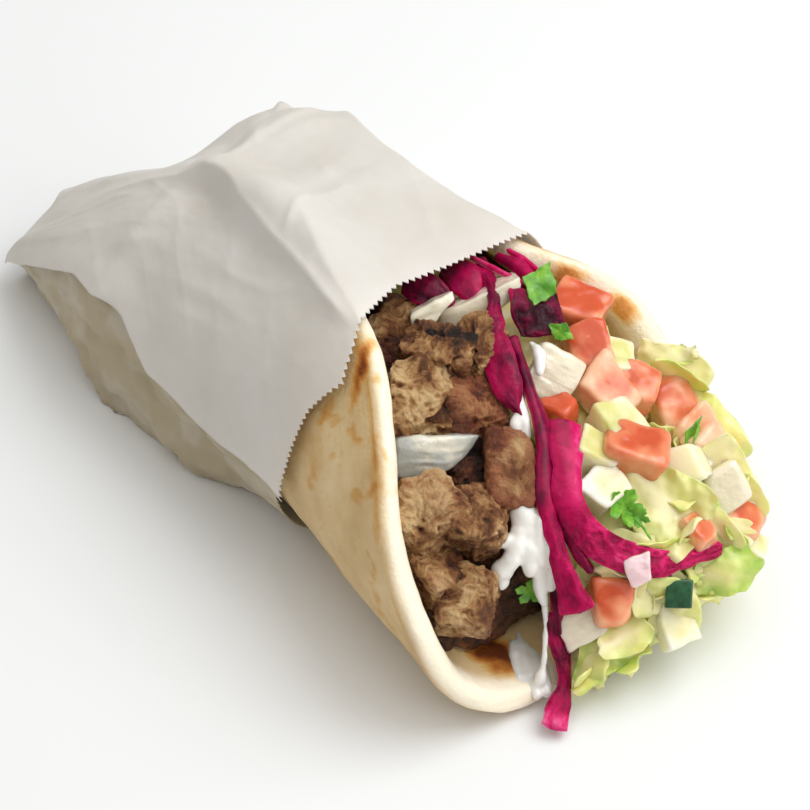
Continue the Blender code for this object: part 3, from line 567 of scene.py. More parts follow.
ray, quads = cube_shell(60)
chunk_middle = np.array([chunk[0] for chunk in MEAT], float)
chunk_reach = np.array([np.mean(chunk[1]) / 2 for chunk in MEAT])
for i, (middle, size, (yaw, pitch), torn, dark, glazed) in enumerate(MEAT, 1):
    form = hewn(ray, size, 40 + i, *((0.16, 4, 7) if torn > 0.5 else (0.06, 1, 5)))
    depth, pits, ridges = crumbly(form, 50 * i, torn)
    # Painted shade and light: darker down in the pits, paler up on the ridges and shreds.
    tones = dark + 0.35 * rough(form, 7, 80 + i, 2) + 0.4 * torn * pits - 0.22 * torn * ridges
    shine = glazed * smooth(-0.5, 0.5, rough(form, 8, 90 + i, 2) + glazed - 0.5)
    form = (form + ray * depth[:, None]) @ spin(yaw, pitch).T + np.array(middle)
    # Painted shade in the gaps: the nearer to another chunk, the darker the colour.
    away = np.linalg.norm(form[:, None] - chunk_middle, axis=2) / chunk_reach
    away[:, i - 1] = 9
    tones = tones + 0.38 * smooth(1.3, 0.95, away.min(axis=1))
    piece(f"meat_chunk_{i:02d}", "meat", [f"meat_{i:02d}"], form, [quads], meat_skin, tone=tones,
          glaze=shine)


def rows_of(parts, field, size=3, kind=np.float32):
    """One field of a mesh's parts, a row of numbers for each."""
    values = np.empty(len(parts) * size, kind)
    parts.foreach_get(field, values)
    return values.reshape(-1, size)


def even_mesh(points, faces, voxel, smoothing=0):
    """Points (mm), normals and quads of overlapping closed forms, merged into one skin of even
    small cells and then relaxed."""
    mesh = bpy.data.meshes.new("merged")
    mesh.from_pydata((points * MM).tolist(), [], [f for group in faces for f in group.tolist()])
    made = bpy.data.objects.new("merged", mesh)
    bpy.context.scene.collection.objects.link(made)
    change = made.modifiers.new("Even", "REMESH")
    change.mode, change.voxel_size, change.adaptivity = "VOXEL", voxel * MM, 0
    if smoothing:
        relax = made.modifiers.new("Relax", "SMOOTH")
        relax.factor, relax.iterations = 0.5, smoothing
    even = made.evaluated_get(bpy.context.evaluated_depsgraph_get()).to_mesh()
    points, normal = rows_of(even.vertices, "co") / MM, rows_of(even.vertices, "normal")
    quads = np.array([face.vertices[:] for face in even.polygons])
    bpy.data.objects.remove(made)
    return points, normal, quads


def solid_points(name):
    """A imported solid's points in millimetres of the roll's frame, welded, and its triangles."""
    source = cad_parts[name].data
    corners = rows_of(source.loops, "vertex_index", 1, np.int32).ravel()
    points, back = np.unique(rows_of(source.vertices, "co").round(7), axis=0, return_inverse=True)
    return points / MM - ROLL, back.reshape(-1)[corners].reshape(-1, 3)


points, faces = solid_points("meat_core")
points, normal, quads = even_mesh(points, [faces], 1.2)
depth, pits, ridges = crumbly(points, 95, 1)
# The bed is painted dark as the shaded gaps between the chunks, with painted shade in its pits and
# painted light on its ridges.
piece("meat_bed", "meat", ["meat_core"], points + normal * (depth[:, None] - 0.6), [quads], meat_skin,
      tone=0.75 + 0.3 * pits - 0.2 * ridges, glaze=np.full(len(points), 0.3))

# ------------------------------------------------------------------------------------ red cabbage
# Raw red cabbage cut into ribbons: a glossy magenta skin on the broad faces, wrinkled where it
# has wilted, and paler where the knife went through.  Path, widths, twist and redness.
CABBAGE = (
    (((22, 22, 63), (36, 14, 66), (45, 6, 65), (52, 2, 63), (59, -1, 60), (65, -2, 56)),
      (3, 3.5, 5.5, 8.5, 6.5, 1.5), (30, -20, 15), 0.34, 0.6),
    (((47, 11, 62), (56, 6.5, 60), (64, 3, 57.5), (72, -1, 54), (83, -10, 47), (93, -14, 37),
      (101, -15, 26)), (2, 3.5, 4.5, 4.5, 4, 4.5, 9), (40, 30, 10, -10), 0.5, 0.4),
    (((71, 7, 54), (79, 0, 52), (87, -6, 47), (96, -5, 40), (105, 3, 35), (109, 14, 32),
      (110, 24, 30)), (8.5, 7.5, 7.5, 7.5, 7, 5.5, 2.5), (15, -5, 10), 0.62, 1),
    (((94.5, -17, 22), (98, -17, 15), (103, -20, 8), (107, -25, 4.5), (110.5, -30, 3)),
      (3, 7, 4.5, 6, 6.5), (-10, 40, 0), 0.28, 1),
    (((34, 27, 63), (42, 22.5, 64), (50, 18, 60)), (9, 15, 10), (0, 40, 10), 0.14, 1.6),
    (((17, 1, 65), (23, 3, 65), (30, 6, 62)), (5, 8, 5), (0, 10, 0), 0.22, 0.5),
    (((18, 14, 63), (26, 13, 65), (33, 11, 63)), (6, 9, 5), (0, 0, 0), 0.35, 0.4),
    (((23, 26, 63), (31, 27, 64), (37, 26, 64)), (3, 4, 3), (0, 0, 0), 0.45, 0.3),
    (((92, -14, 28), (95, -16, 23), (98, -18, 17)), (2.5, 3, 2), (0, 30, 0), 0.1, 0.3),
    (((18, 19, 65), (25, 19.5, 66), (32, 21, 66), (37, 23.5, 64)), (1.6, 2.2, 1.8, 1.2), (0, 20, 0),
      0.55, 0.2),
    (((24, 29, 64), (33, 30, 64), (42, 29, 63)), (1.4, 1.8, 1.2), (0, 20, 0), 0.6, 0.2),
    (((78, 0, 51), (86, -8, 45), (93, -9, 38), (98, -8, 33)), (2, 2.6, 2.8, 1.6), (30, 10, 0), 0.2,
      0.6),
)
CABBAGE_THICK = 1.5
TO_VIEW = (0.5, -0.4, 0.75)                # broad faces look up and out of the open end


def smooth_path(points, count):
    """A cubic through the given points or numbers, sampled evenly in its parameter."""
    points = np.array(points, float)
    points = np.concatenate([[2 * points[0] - points[1]], points, [2 * points[-1] - points[-2]]])
    t = np.linspace(0, len(points) - 3 - 1e-6, count)
    i = t.astype(int)
    f = (t - i).reshape(-1, *[1] * (points.ndim - 1))
    a, b, c, d = (points[i + k] for k in range(4))
    return 0.5 * (2 * b + (c - a) * f + (2 * a - 5 * b + 4 * c - d) * f ** 2
                  + (3 * b - a - 3 * c + d) * f ** 3)


def ribbon(path, widths, thick, twist, rows=230, sides=44, blunt=0.8):
    """Carry a flat rounded section along a path: across it lies the width, square to it the
    thickness; its broad face looks to the view, turned by the twist.  Also returns the
    run along the path, the across and up shares of each point, and these two directions."""
    middle = smooth_path(path, rows)
    turn = np.radians(smooth_path(twist, rows))[:, None]
    ahead = np.gradient(middle, axis=0)
    run = np.cumsum(np.linalg.norm(ahead, axis=1))
    ahead = unit(ahead)
    across = unit(np.cross(ahead, TO_VIEW))
    up = np.cross(across, ahead)
    across, up = across * np.cos(turn) + up * np.sin(turn), up * np.cos(turn) - across * np.sin(turn)
    across, up = across[:, None], up[:, None]
    angle = 2 * np.pi * np.arange(sides) / sides
    flat = np.sign(np.cos(angle)) * np.abs(np.cos(angle)) ** 0.8
    low = np.sign(np.sin(angle)) * np.abs(np.sin(angle)) ** 0.35
    end = np.minimum(1, np.sqrt(np.minimum(run, run[-1] - run) / blunt + 0.02))[:, None]
    wide = end * smooth_path(widths, rows)[:, None] / 2 * flat
    rings = middle[:, None] + across * wide[..., None] + up * (end * thick / 2 * low)[..., None]
    return rings, *np.broadcast_arrays(run[:, None], flat, low), across, up


# Raw red cabbage leaf: waxy, wet, deeply coloured skin, pitted where it has wilted.
cabbage_skin, tree, *_ = toned(
    "red cabbage", {0: "#2E0314", 0.22: "#6E0632", 0.5: "#A50846", 0.72: "#CE1A62", 0.88: "#DE5288",
                    1: "#EBA0C4"},
    (0.6, -0.3), (3.846, 5, 0.6, 0.8), (1.613, 5, 0.5, 0.6), bump=(1, 1.2), Roughness=0.26,
    Subsurface_Weight=0.06, Subsurface_Radius=(1, 0.15, 0.4), Subsurface_Scale=0.0015,
    Specular_IOR_Level=0.12, Coat_Weight=0.05, Coat_Roughness=0.08)
wilt = node(tree, "Attribute", out="Fac", attribute_name="wilt")
tree.links.new(wilt, tree.nodes["Bump"].inputs["Strength"])

for i, (path, widths, twist, light, wilted) in enumerate(CABBAGE, 1):
    rings, run, share, height, across, up = ribbon(path, widths, CABBAGE_THICK, twist)
    lane = xyz(run, share * max(widths) / 2, 11 * i)
    run = run / run.max()
    # Wilted stretches: a net of deep wrinkles, mostly along the ribbon, on both broad faces.
    where = smooth(0.3, 0.5, run) if i == 3 else smooth(0.6, 0.8, run) if i == 2 else 0.6
    net = ridged(lane * (0.4, 1.1, 1), 1.6, 110 + i, 2) - 0.15
    folds = rough(lane * (0.3, 1, 1), 3, 115 + i, 2)
    edge = 0.7 * rough(lane * (1, 0.2, 1), 6, 100 + i, 2) * share
    curl = 0.7 * share ** 2 + 0.8 * rough(lane * (0.6, 0.7, 1), 9, 125 + i, 1)
    relief = wilted * where * (0.9 * net * height + 0.6 * folds) - curl
    rings = rings + across * edge[..., None] + up * relief[..., None]
    # Paler at the cut edges; painted light and shade on the wrinkles: paler on the raised net and folds,
    # darker down between them.
    tones = light + 0.18 * rough(lane, 6, 130 + i, 2) + 0.25 * (np.abs(share) > 0.97) \
        + 0.6 * where * np.minimum(wilted, 1) * np.maximum(net, -0.2) + 0.1 * folds
    if i == 2:
        tones = tones - 0.22 * smooth(0.72, 0.5, run)
    if i == 4:
        tones = tones + 0.5 * smooth(0.8, 0.95, run)
    creased = np.broadcast_to(0.1 + 0.7 * where * min(wilted, 1), tones.shape)
    tube(f"cabbage_ribbon_{i:02d}", "red_cabbage", [f"cabbage_{i:02d}"] if i <= 8 else [], rings,
         cabbage_skin, tone=np.append(tones, (light, light)), wilt=np.append(creased, (0.1, 0.1)))

# ------------------------------------------------------------------------------------ tomato
# Ripe tomato chopped into dice: wet salmon-red flesh, one side with the smooth darker skin.
# Place, size, yaw and pitch, and how red it is, from pale 0 to deep red 1.
TOMATO = (
    ((44, 35.5, 53.5), (13, 12, 11), (25, 10), 0.75),
    ((55, 28.5, 51), (12, 11, 10), (-30, 15), 0.5),
    ((67, 24, 48.5), (15, 11, 10), (10, 20), 0.25),
    ((68, 31.5, 46.5), (12, 11, 10), (45, 10), 0.5),
    ((71, 44.5, 33), (17, 12, 12), (-20, 25), 0.36),
    ((83.5, 17.5, 46.5), (15, 12, 11), (40, 15), 0.5),
    ((83, 41, 30), (13, 13, 11), (15, 25), 0),
    ((102, -5, 24), (12, 10, 8.5), (-40, 45), 0.6),
    ((104, 36, 25), (12, 10, 8), (30, 30), 0.6),
    ((105, 20.2, 33.6), (9, 8, 7), (0, 20), 0.4),
    ((65, 10, 50), (9, 8, 8), (20, 0), 0.9),
)
# Ripe tomato flesh: wet, see-through at its edges.
tomato_skin, *_ = toned(
    "tomato flesh", {0: "#F6D2B4", 0.3: "#F2B791", 0.6: "#E99066", 1: "#CF5730"}, (0.6, -0.3),
    (4.545, 5, 0.5, 0.5), bump=(0.25, 0.6), Roughness=0.26, Subsurface_Weight=0.5,
    Subsurface_Radius=(1, 0.35, 0.2), Subsurface_Scale=0.004, Specular_IOR_Level=0.4,
    Coat_Weight=0.3, Coat_Roughness=0.12)
dice_ray, dice_quads = cube_shell(22)


def dice(kind, i, middle, size, turn, tint, flesh, soft):
    """A knife-cut dice with slightly hollow, torn faces, darker on its skin side, its top."""
    form = hewn(dice_ray, size, 200 + 17 * i + len(kind), 0.13, 2, soft)
    relief = 0.55 * rough(form, 5, 210 + i, 2) + 0.09 * rough(form, 1.2, 211 + i, 1)
    form = form + dice_ray * relief[:, None]
    tones = tint + 0.35 * smooth(0.6, 0.8, dice_ray[:, 2]) + 0.35 * rough(form, 6, 220 + i, 2)
    form = form @ spin(*turn).T + np.array(middle)
    piece(f"{kind}_dice_{i:02d}", kind, [f"{kind}_{i:02d}"], form, [dice_quads], flesh, tone=tones)


for i, cut in enumerate(TOMATO, 1):
    dice("tomato", i, *cut, tomato_skin, 8)

# ------------------------------------------------------------------------------------ cucumber
# Peeled cucumber chopped into dice: pale yellow-green, watery, softer in the middle.  The last
# one is a square of the dark green rind.  Place, size, yaw and pitch, and how green it is.
CUCUMBER = (
    ((76, 20, 47), (12, 12, 10), (-15, 10), 0.45),
    ((79, 10, 46), (11, 10, 9), (30, 20), 0.5),
    ((61, 32, 49.5), (10, 9, 8), (50, 10), 0.5),
    ((86, 5, 43), (9, 9, 8), (10, 25), 0.2),
    ((97, 42, 26), (12, 10, 8), (-25, 20), 0.2),
    ((108, 35, 20), (10, 8, 8), (35, 35), 0.3),
    ((112, 7, 14), (10, 9, 8), (-10, 30), 0.4),
)
RIND = ((111.8, 7.9, 25.8), (6.4, 7, 2.6))
# Cucumber flesh: pale, juicy and half see-through; the rind is dark green and waxy.
cucumber_skin, *_ = toned(
    "cucumber flesh", {0: "#F8F2DE", 0.4: "#F4ECC8", 0.75: "#EBE3AC", 1: "#D9D68C"}, (0.5, -0.25),
    (4.167, 4), bump=(0.2, 0.5), Roughness=0.26, Subsurface_Weight=0.6,
    Subsurface_Radius=(1, 1, 0.6), Subsurface_Scale=0.005, Specular_IOR_Level=0.4)
for i, cut in enumerate(CUCUMBER, 1):
    dice("cucumber", i, *cut, cucumber_skin, 20)

rind_skin, *_ = toned("cucumber rind", {0.35: "#0E3A1E", 0.7: "#235C36"}, (1, 0), (2, 2),
                      Roughness=0.3, Coat_Weight=0.3)
form = hewn(dice_ray, RIND[1], 208, 0.03, 0, 30) @ VIEW + np.array(RIND[0])
piece("cucumber_rind_08", "cucumber", ["cucumber_08"], form, [dice_quads], rind_skin)

# ------------------------------------------------------------------------------------ onion
# White and faintly pink onion in slices and wedges: glassy wet layers with fine long veins.
# Place, size (across, up and deep in the photograph's view), turn, nod and lean in it, and
# tone from glassy grey-white 0 to creamy pink 1.
ONION = (
    ((58.6, -25.4, 49.2), (19, 16, 4.5), (-2, 12, 12), 0.05),
    ((29, 1, 61.5), (12, 8, 4), (25, 0, 10), 0.5),
    ((36, 12, 60), (22, 12, 4), (26, 0, 15), 0.5),
    ((58.4, 12.9, 54.4), (12, 15, 5), (-28, 10, 0), 0.55),
    ((100.2, -11.6, 16.8), (12, 9, 5), (20, 0, 0), 0.6),
    ((104.5, 0.8, 33), (6, 8, 4), (10, 0, 10), 1),
    ((91, 32, 36), (9, 9, 5), (30, 20, 0), 0.4),
)
# Onion layer: glassy, wet and faintly veined; its wet film follows the veins.
onion_skin, tree, shader, *_ = toned(
    "onion layer", {0: "#A5A59D", 0.3: "#DCD2BA", 0.7: "#EBDFC6", 1: "#E8C4C8"}, (0.4, -0.2),
    (6.667, 3), (2.38, 5), bump=(0.5, 0.7), Roughness=0.16, Subsurface_Weight=0.6,
    Subsurface_Radius=(1, 1, 1), Subsurface_Scale=0.005, Coat_Weight=0.9, Coat_Roughness=0.06)
tree.links.new(tree.nodes["Bump"].outputs["Normal"], shader.inputs["Coat Normal"])


def seen(points, middle, turn):
    """Turn a form in the photograph's view and set it at its place."""
    return points @ (VIEW.T @ spin(*turn)).T + np.array(middle)


onion_ray, onion_quads = cube_shell(34)
for i, (middle, size, turn, tint) in enumerate(ONION, 1):
    form = hewn(onion_ray, size, 300 + i, 0.1, 3, 14)
    # A wedge tapers to a point on its left: its lower edge runs up to the upper one.
    taper = (0.8 if i <= 3 else 0.3) * np.clip(form[:, 0] / size[0] + 0.45, 0, 1) ** 0.8
    form[:, 1] += (size[1] / 2 - form[:, 1]) * taper
    form[:, 2] -= 0.03 * form[:, 1] ** 2 + 0.012 * form[:, 0] ** 2 - 0.8
    form = form + onion_ray * (0.5 * rough(form, 5, 305 + i, 2))[:, None]
    form[:, 2] += 0.3 * rough(form * (0.25, 1, 1), 1.7, 306 + i, 2)
    tones = tint + 0.2 * rough(form, 5, 310 + i, 2) + 0.05 * np.sin(form[:, 1] * 2.6)
    piece(f"onion_layer_{i:02d}", "onion", [f"onion_{i:02d}"], seen(form, middle, turn),
          [onion_quads], onion_skin, tone=tones)

# ------------------------------------------------------------------------------------ lettuce
# Shredded iceberg lettuce, crisp and pale, with ruffled light green edges.  It fills the far
# side as a heap that has spilled out of the open end; leaves and ribs lie all over its core.
# Place, size with depth of the waves, turn, nod and lean in the view, green from 0 to 1.
LETTUCE = (
    ((65, 47.5, 40), (20, 16, 2.2), (-50, 0, 20), 0),
    ((96, 15.5, 40), (26, 18, 4.5), (-38, 0, 5), 0.32),
    ((110, 19, 23.5), (26, 11, 3.2), (4, -15, 10), 0.72),
    ((106, -11.5, 12), (22, 11, 3.2), (55, 10, -10), 0.62),
    ((109, -4, 11), (13, 5, 1.5), (80, 0, 20), 0.6), ((81, 47, 31), (20, 16, 2.4), (-70, 0, 25), 0.45),
    ((100, 35, 28), (20, 14, 2.2), (20, 10, 15), 0.25), ((99, 1, 33), (18, 14, 2), (-20, 0, 0), 0.22),
    ((105, 24, 31), (18, 13, 2.2), (-60, 10, 10), 0.15),
    ((93, 36, 36), (18, 13, 2.2), (30, 0, 20), 0.15), ((109, 5, 18), (19, 15, 2.4), (10, 0, 10), 0.45),
    ((104, 29, 29), (17, 3.5, 0.8), (-8, 0, 0), 0.05),
    ((104, 28, 21), (20, 15, 2.2), (-30, -20, 25), 0.5),
    ((108, -6, 17), (15, 10, 2), (30, 0, -10), 0.45),
)
LEAVES, DICE_BITS = 96, 14
# The heap's outline in the photograph's view, right and up of the middle of the picture.
HEAP_MIDDLE = np.array([45, -20])
HEAP_OUTLINE = ((40.7, -71), (48, -67.5), (54, -66), (59, -61), (64, -58), (70, -56), (73, -50),
                (81, -45), (83, -39), (88, -33), (88, -28), (85, -21), (84, -11), (81, -1), (76, 5),
                (75, 13), (70, 17.5))
# Larger pale dice that lie loose on the far side of the heap.
LOOSE = {"tomato": ((94, 44.5, 30), (88, 40, 37)), "cucumber": ((91.5, 28.5, 40), (110, 33, 21)),
         "onion": ((99.5, 36.5, 33),)}

# Crisp lettuce: thin, pale and watery, light shining through, with a faint wet sheen.
lettuce_skin, *_ = toned(
    "crisp lettuce", {0: "#F2E8B2", 0.35: "#E8E394", 0.7: "#CBDA78", 1: "#96BE48"}, (0.5, -0.25),
    (5.882, 5, 0.5, 0.6), (2, 4), bump=(0.3, 0.5), Roughness=0.3, Subsurface_Weight=0.4,
    Subsurface_Radius=(0.9, 1, 0.4), Subsurface_Scale=0.003, Coat_Weight=0.2, Coat_Roughness=0.2)


def leaf(size, seed, cuts, thick=0.7, bend=0.5):
    """A thin sheet: an uneven oval outline, waves that grow towards its rim, a thick midrib that thins
    out along its middle, and a bend across. Returns points, faces, how near the rim each point lies, and
    its midrib plus its folds, which the colour uses for painted light and shade: paler on the crests,
    greener and darker in the troughs."""
    draw = np.random.default_rng(seed)
    u, v = np.meshgrid(np.linspace(-1, 1, cuts[0]), np.linspace(-1, 1, cuts[1]), indexing="ij")
    rim = np.maximum(np.abs(u), np.abs(v))
    oval = 1 + 0.16 * rough(xyz(u, v, seed) * 2, 1.3, seed, 1) * rim
    x = u * np.sqrt(1 - 0.4 * v ** 2) * size[0] / 2 * oval
    y = v * np.sqrt(1 - 0.4 * u ** 2) * size[1] / 2 * oval * (1 + 0.35 * u)
    flat = xyz(x, y, 9 * seed)
    waves = rough(flat, 4.2, seed + 2, 2)
    z = size[2] * (0.8 * rough(flat, 12, seed + 1, 1) + 0.75 * rim ** 2 * waves)
    z = z + bend * draw.uniform(-1, 1.4) * (y ** 2 / size[1] + 0.5 * x ** 2 / size[0])
    rib_and_fold_shading = np.exp(-(y / (0.9 + 0.05 * size[1])) ** 2) * smooth(1, -0.8, u)
    folds = waves * rim + 0.6 * rough(flat * (0.3, 1, 1), 3, seed + 3, 2)
    half = thick * (1 + 1.6 * rib_and_fold_shading + 0.5 * folds) * (1 - 0.6 * rim ** 4) / 2
    # The folds add painted light and shade: the leaf turns paler on their crests and greener and darker
    # in their troughs.
    rib_and_fold_shading = rib_and_fold_shading + 0.55 * folds
    points = np.concatenate([xyz(x, y, z + side * half).reshape(-1, 3) for side in (1, -1)])
    index = np.arange(u.size).reshape(u.shape)
    edge = np.concatenate([index[0, :-1], index[:-1, -1], index[-1, :0:-1], index[:0:-1, 0]])
    after = np.roll(edge, -1)
    face = wall(*cuts)
    skirt = np.stack([edge, after, after + u.size, edge + u.size], axis=-1)
    faces = np.concatenate([face[:, ::-1], face + u.size, skirt])
    return points, faces, np.tile(rim.ravel(), 2), np.tile(rib_and_fold_shading.ravel(), 2)


points, faces = solid_points("salad")
heap_points, heap_normals, quads = even_mesh(points, [faces], 1.4)
heap_points[:, 0] -= 6 * smooth(18, 0, heap_points[:, 2]) * smooth(92, 112, heap_points[:, 0])
pile = 1.1 * rough(heap_points, 7, 401, 2) + 1.5 * ridged(heap_points, 3.8, 402, 2) - 1.2
piece("salad_core", "lettuce", ["salad"], heap_points + heap_normals * pile[:, None], [quads],
      lettuce_skin, tone=0.45 + 0.15 * pile)
# Each leaf is greener at its rim and paler on its midrib, with painted light and shade from its folds.
for i, (middle, size, turn, tint) in enumerate(LETTUCE, 1):
    points, quads, rim, rib_and_fold_shading = leaf(size, 410 + i, (60, 42))
    piece(f"lettuce_leaf_{i:02d}", "lettuce", [], seen(points, middle, turn), [quads], lettuce_skin,
          tone=tint + 0.35 * (rim - 0.6) - 0.5 * rib_and_fold_shading)


def within(points):
    """Slide a form in the photograph's view so that it lies inside the heap's outline there:
    towards the outline's middle by the most that any of its points stands out."""
    flat = (points - TARGET) @ VIEW[:2].T - HEAP_MIDDLE
    outline = np.array(HEAP_OUTLINE) - HEAP_MIDDLE
    bearing = np.arctan2(outline[:, 1], outline[:, 0])
    order = np.argsort(bearing)
    allowed = np.interp(np.arctan2(flat[:, 1], flat[:, 0]), bearing[order],
                        np.linalg.norm(outline, axis=1)[order], left=1e3, right=1e3)
    over = np.linalg.norm(flat, axis=1) - allowed
    worst = over.argmax()
    points = points - max(over[worst], 0) * unit(flat[worst]) @ VIEW[:2]
    return np.column_stack([points[:, :2], np.maximum(points[:, 2], FLOOR + 0.2)])


def heaped(name, slot, forms, quads, tones, flesh):
    """Many small forms joined into one piece; quads are their faces, one array for each."""
    starts = np.cumsum([0] + [len(form) for form in forms[:-1]])
    piece(name, slot, [], np.concatenate(forms), [np.concatenate([q + n for q, n in zip(quads, starts)])],
          flesh, tone=np.concatenate(tones))


# More leaves lie evenly over the heap wherever it shows, each flat on it and a little raised:
# the seats are spread out one by one, each as far as can be from those before it.
draw = np.random.default_rng(77)
shown = np.flatnonzero((heap_points[:, 0] > 56) & (heap_points[:, 2] > 1.5)
                       & (heap_normals @ np.array((0.8, 0.25, 0.45)) > -0.1)
                       & (heap_points[:, 1] > np.where(heap_points[:, 2] > 26, 6, -16))
                       & (heap_normals @ VIEW[2] < 0.9 - 0.3 * (heap_points[:, 2] > 25)))
seats = [int(draw.choice(shown))]
gap = np.full(len(shown), 1e9)
for _ in range(LEAVES + DICE_BITS - 1):
    gap = np.minimum(gap, np.linalg.norm(heap_points[shown] - heap_points[seats[-1]], axis=1))
    seats.append(int(shown[gap.argmax()]))
seats = np.array(seats)[np.argsort(-(heap_normals[seats] @ VIEW[2]))]
# These leaves too carry painted light and shade from their folds.
forms, faces, tones = [], [], []
for n, k in enumerate(seats[:LEAVES]):
    size = (draw.uniform(13, 22), draw.uniform(9, 16), draw.uniform(0.9, 1.9))
    points, quads, rim, rib_and_fold_shading = leaf(size, 500 + n, (26, 18), 0.8)
    up = unit(heap_normals[k] + draw.normal(0, 0.16, 3))
    ahead = unit(np.cross(up, draw.normal(0, 1, 3)))
    points = points @ np.stack([ahead, np.cross(up, ahead), up]) + heap_points[k]
    points = within(points - heap_normals[k] * draw.uniform(0.6, 2.4))
    points[:, 1] = np.minimum(points[:, 1], 57)
    forms.append(points)
    faces.append(quads)
    tones.append(draw.uniform(0.05, 0.7) + 0.35 * (rim - 0.6) - 0.4 * rib_and_fold_shading)
heaped("lettuce_scatter", "lettuce", forms, faces, tones, lettuce_skin)

# Between them lie small dice, sunk to half their height, and the loose ones, which are larger.
bit_ray, bit_quads = cube_shell(9)
for kind, flesh in (("tomato", tomato_skin), ("cucumber", cucumber_skin), ("onion", onion_skin)):
    forms, tones = [], []
    sunk = seats[LEAVES + len(kind) % 3::3]
    for n, seat in enumerate([*(heap_points[sunk] - heap_normals[sunk]), *LOOSE[kind]]):
        large = n >= len(sunk)
        form = hewn(bit_ray, draw.uniform(5, 9, 3) + 2.5 * large, 800 + n + len(kind), 0.15, 2, 14)
        tint = draw.uniform(0.2, 0.7) * (0.4 if large and kind == "tomato" else 1)
        tones.append(tint + 0.15 * rough(form, 4, 810 + n, 2))
        forms.append(within(form @ spin(*draw.uniform(-90, 90, 3)).T + np.array(seat)))
    heaped(f"{kind}_bits", kind, forms, [bit_quads] * len(forms), tones, flesh)

# ------------------------------------------------------------------------------------ parsley
# Flat-leaf parsley, torn small: bright green, slightly shiny lobes and two stems.  Place, size
# with depth of the waves, and turn, nod and lean in the view.
PARSLEY = (
    ((41, 25, 66.3), (12.5, 9.5, 1), (68, 12, 10)), ((52.5, 21.5, 61), (7, 5, 1.6), (-30, 10, 0)),
    ((94.5, 5, 44.5), (9, 8, 4), (60, 0, 10)), ((86, 36, 41.5), (10, 4.5, 1), (65, 0, 30)),
    ((97, 7, 42), (6, 5, 2.5), (-20, 0, 10)), ((98, 0, 35), (5, 4, 1), (40, 0, 0)),
    ((88, -18.5, 25), (8, 6, 1.5), (20, 0, 0)), ((93, 27, 40), (4, 3, 0.8), (80, 0, 0)),
)
# Parsley leaf: thin, bright and softly shining, with fine veins.
herb_skin, *_ = toned(
    "parsley leaf", {0.25: "#3C7A1C", 0.5: "#63A22A", 0.75: "#94C846"}, (1, 0), (2.5, 4),
    bump=(0.3, 0.4), Roughness=0.35, Subsurface_Weight=0.2, Subsurface_Radius=(0.5, 1, 0.2),
    Subsurface_Scale=0.001)


def lobed(size, seed, lobe, rings=12, turns=72, thick=0.3):
    """A leaf of five pointed, toothed lobes in polar lines: the reach is
    1 - lobe + lobe |cos(2.5 a)|^0.7 of the half size, with small teeth, crumpled by noise; with
    no lobe it is a torn square with reach 1 / (|cos a| + |sin a|)."""
    share, angle = np.meshgrid(np.linspace(0, 1, rings + 1)[1:], np.arange(turns) * 2 * np.pi / turns,
                               indexing="ij")
    ridge = np.abs(np.cos(2.5 * angle))
    reach = 1 - lobe + lobe * ridge ** 0.7 + 0.1 * lobe * np.cos(15 * angle)
    torn = 1 / (np.abs(np.cos(angle)) + np.abs(np.sin(angle)))
    reach = reach if lobe else torn * (1 + 0.05 * np.sin(5 * angle) + 0.03 * np.cos(11 * angle))
    x = share * reach * size[0] / 2 * np.cos(angle)
    y = share * reach * size[1] / 2 * np.sin(angle)
    z = size[2] * (rough(xyz(x, y, 5 * seed), 5, seed, 2) + 0.25 * ridge * share)
    return np.concatenate([xyz(x, y, z + thick / 2), xyz(x, y, z - thick / 2)[::-1]])


for i, (middle, size, turn) in enumerate(PARSLEY, 1):
    rings = lobed(size, 600 + i, 0 if i in (1, 2, 4) else 0.55)
    tube(f"parsley_leaf_{i:02d}", "parsley", [f"parsley_{i:02d}"] if i <= 4 else [],
         seen(rings, middle, turn), herb_skin)
stems = ((97, 5, 43), (100, 6, 41), (103, 6, 39)), ((86, 38, 44), (89, 33, 40), (91, 30, 37))
for i, path in enumerate(stems, 1):
    rings, *_ = ribbon(path, (0.7, 0.7, 0.6), 0.7, (0, 0), rows=24, sides=8)
    tube(f"parsley_stem_{i:02d}", "parsley", [], rings, herb_skin)

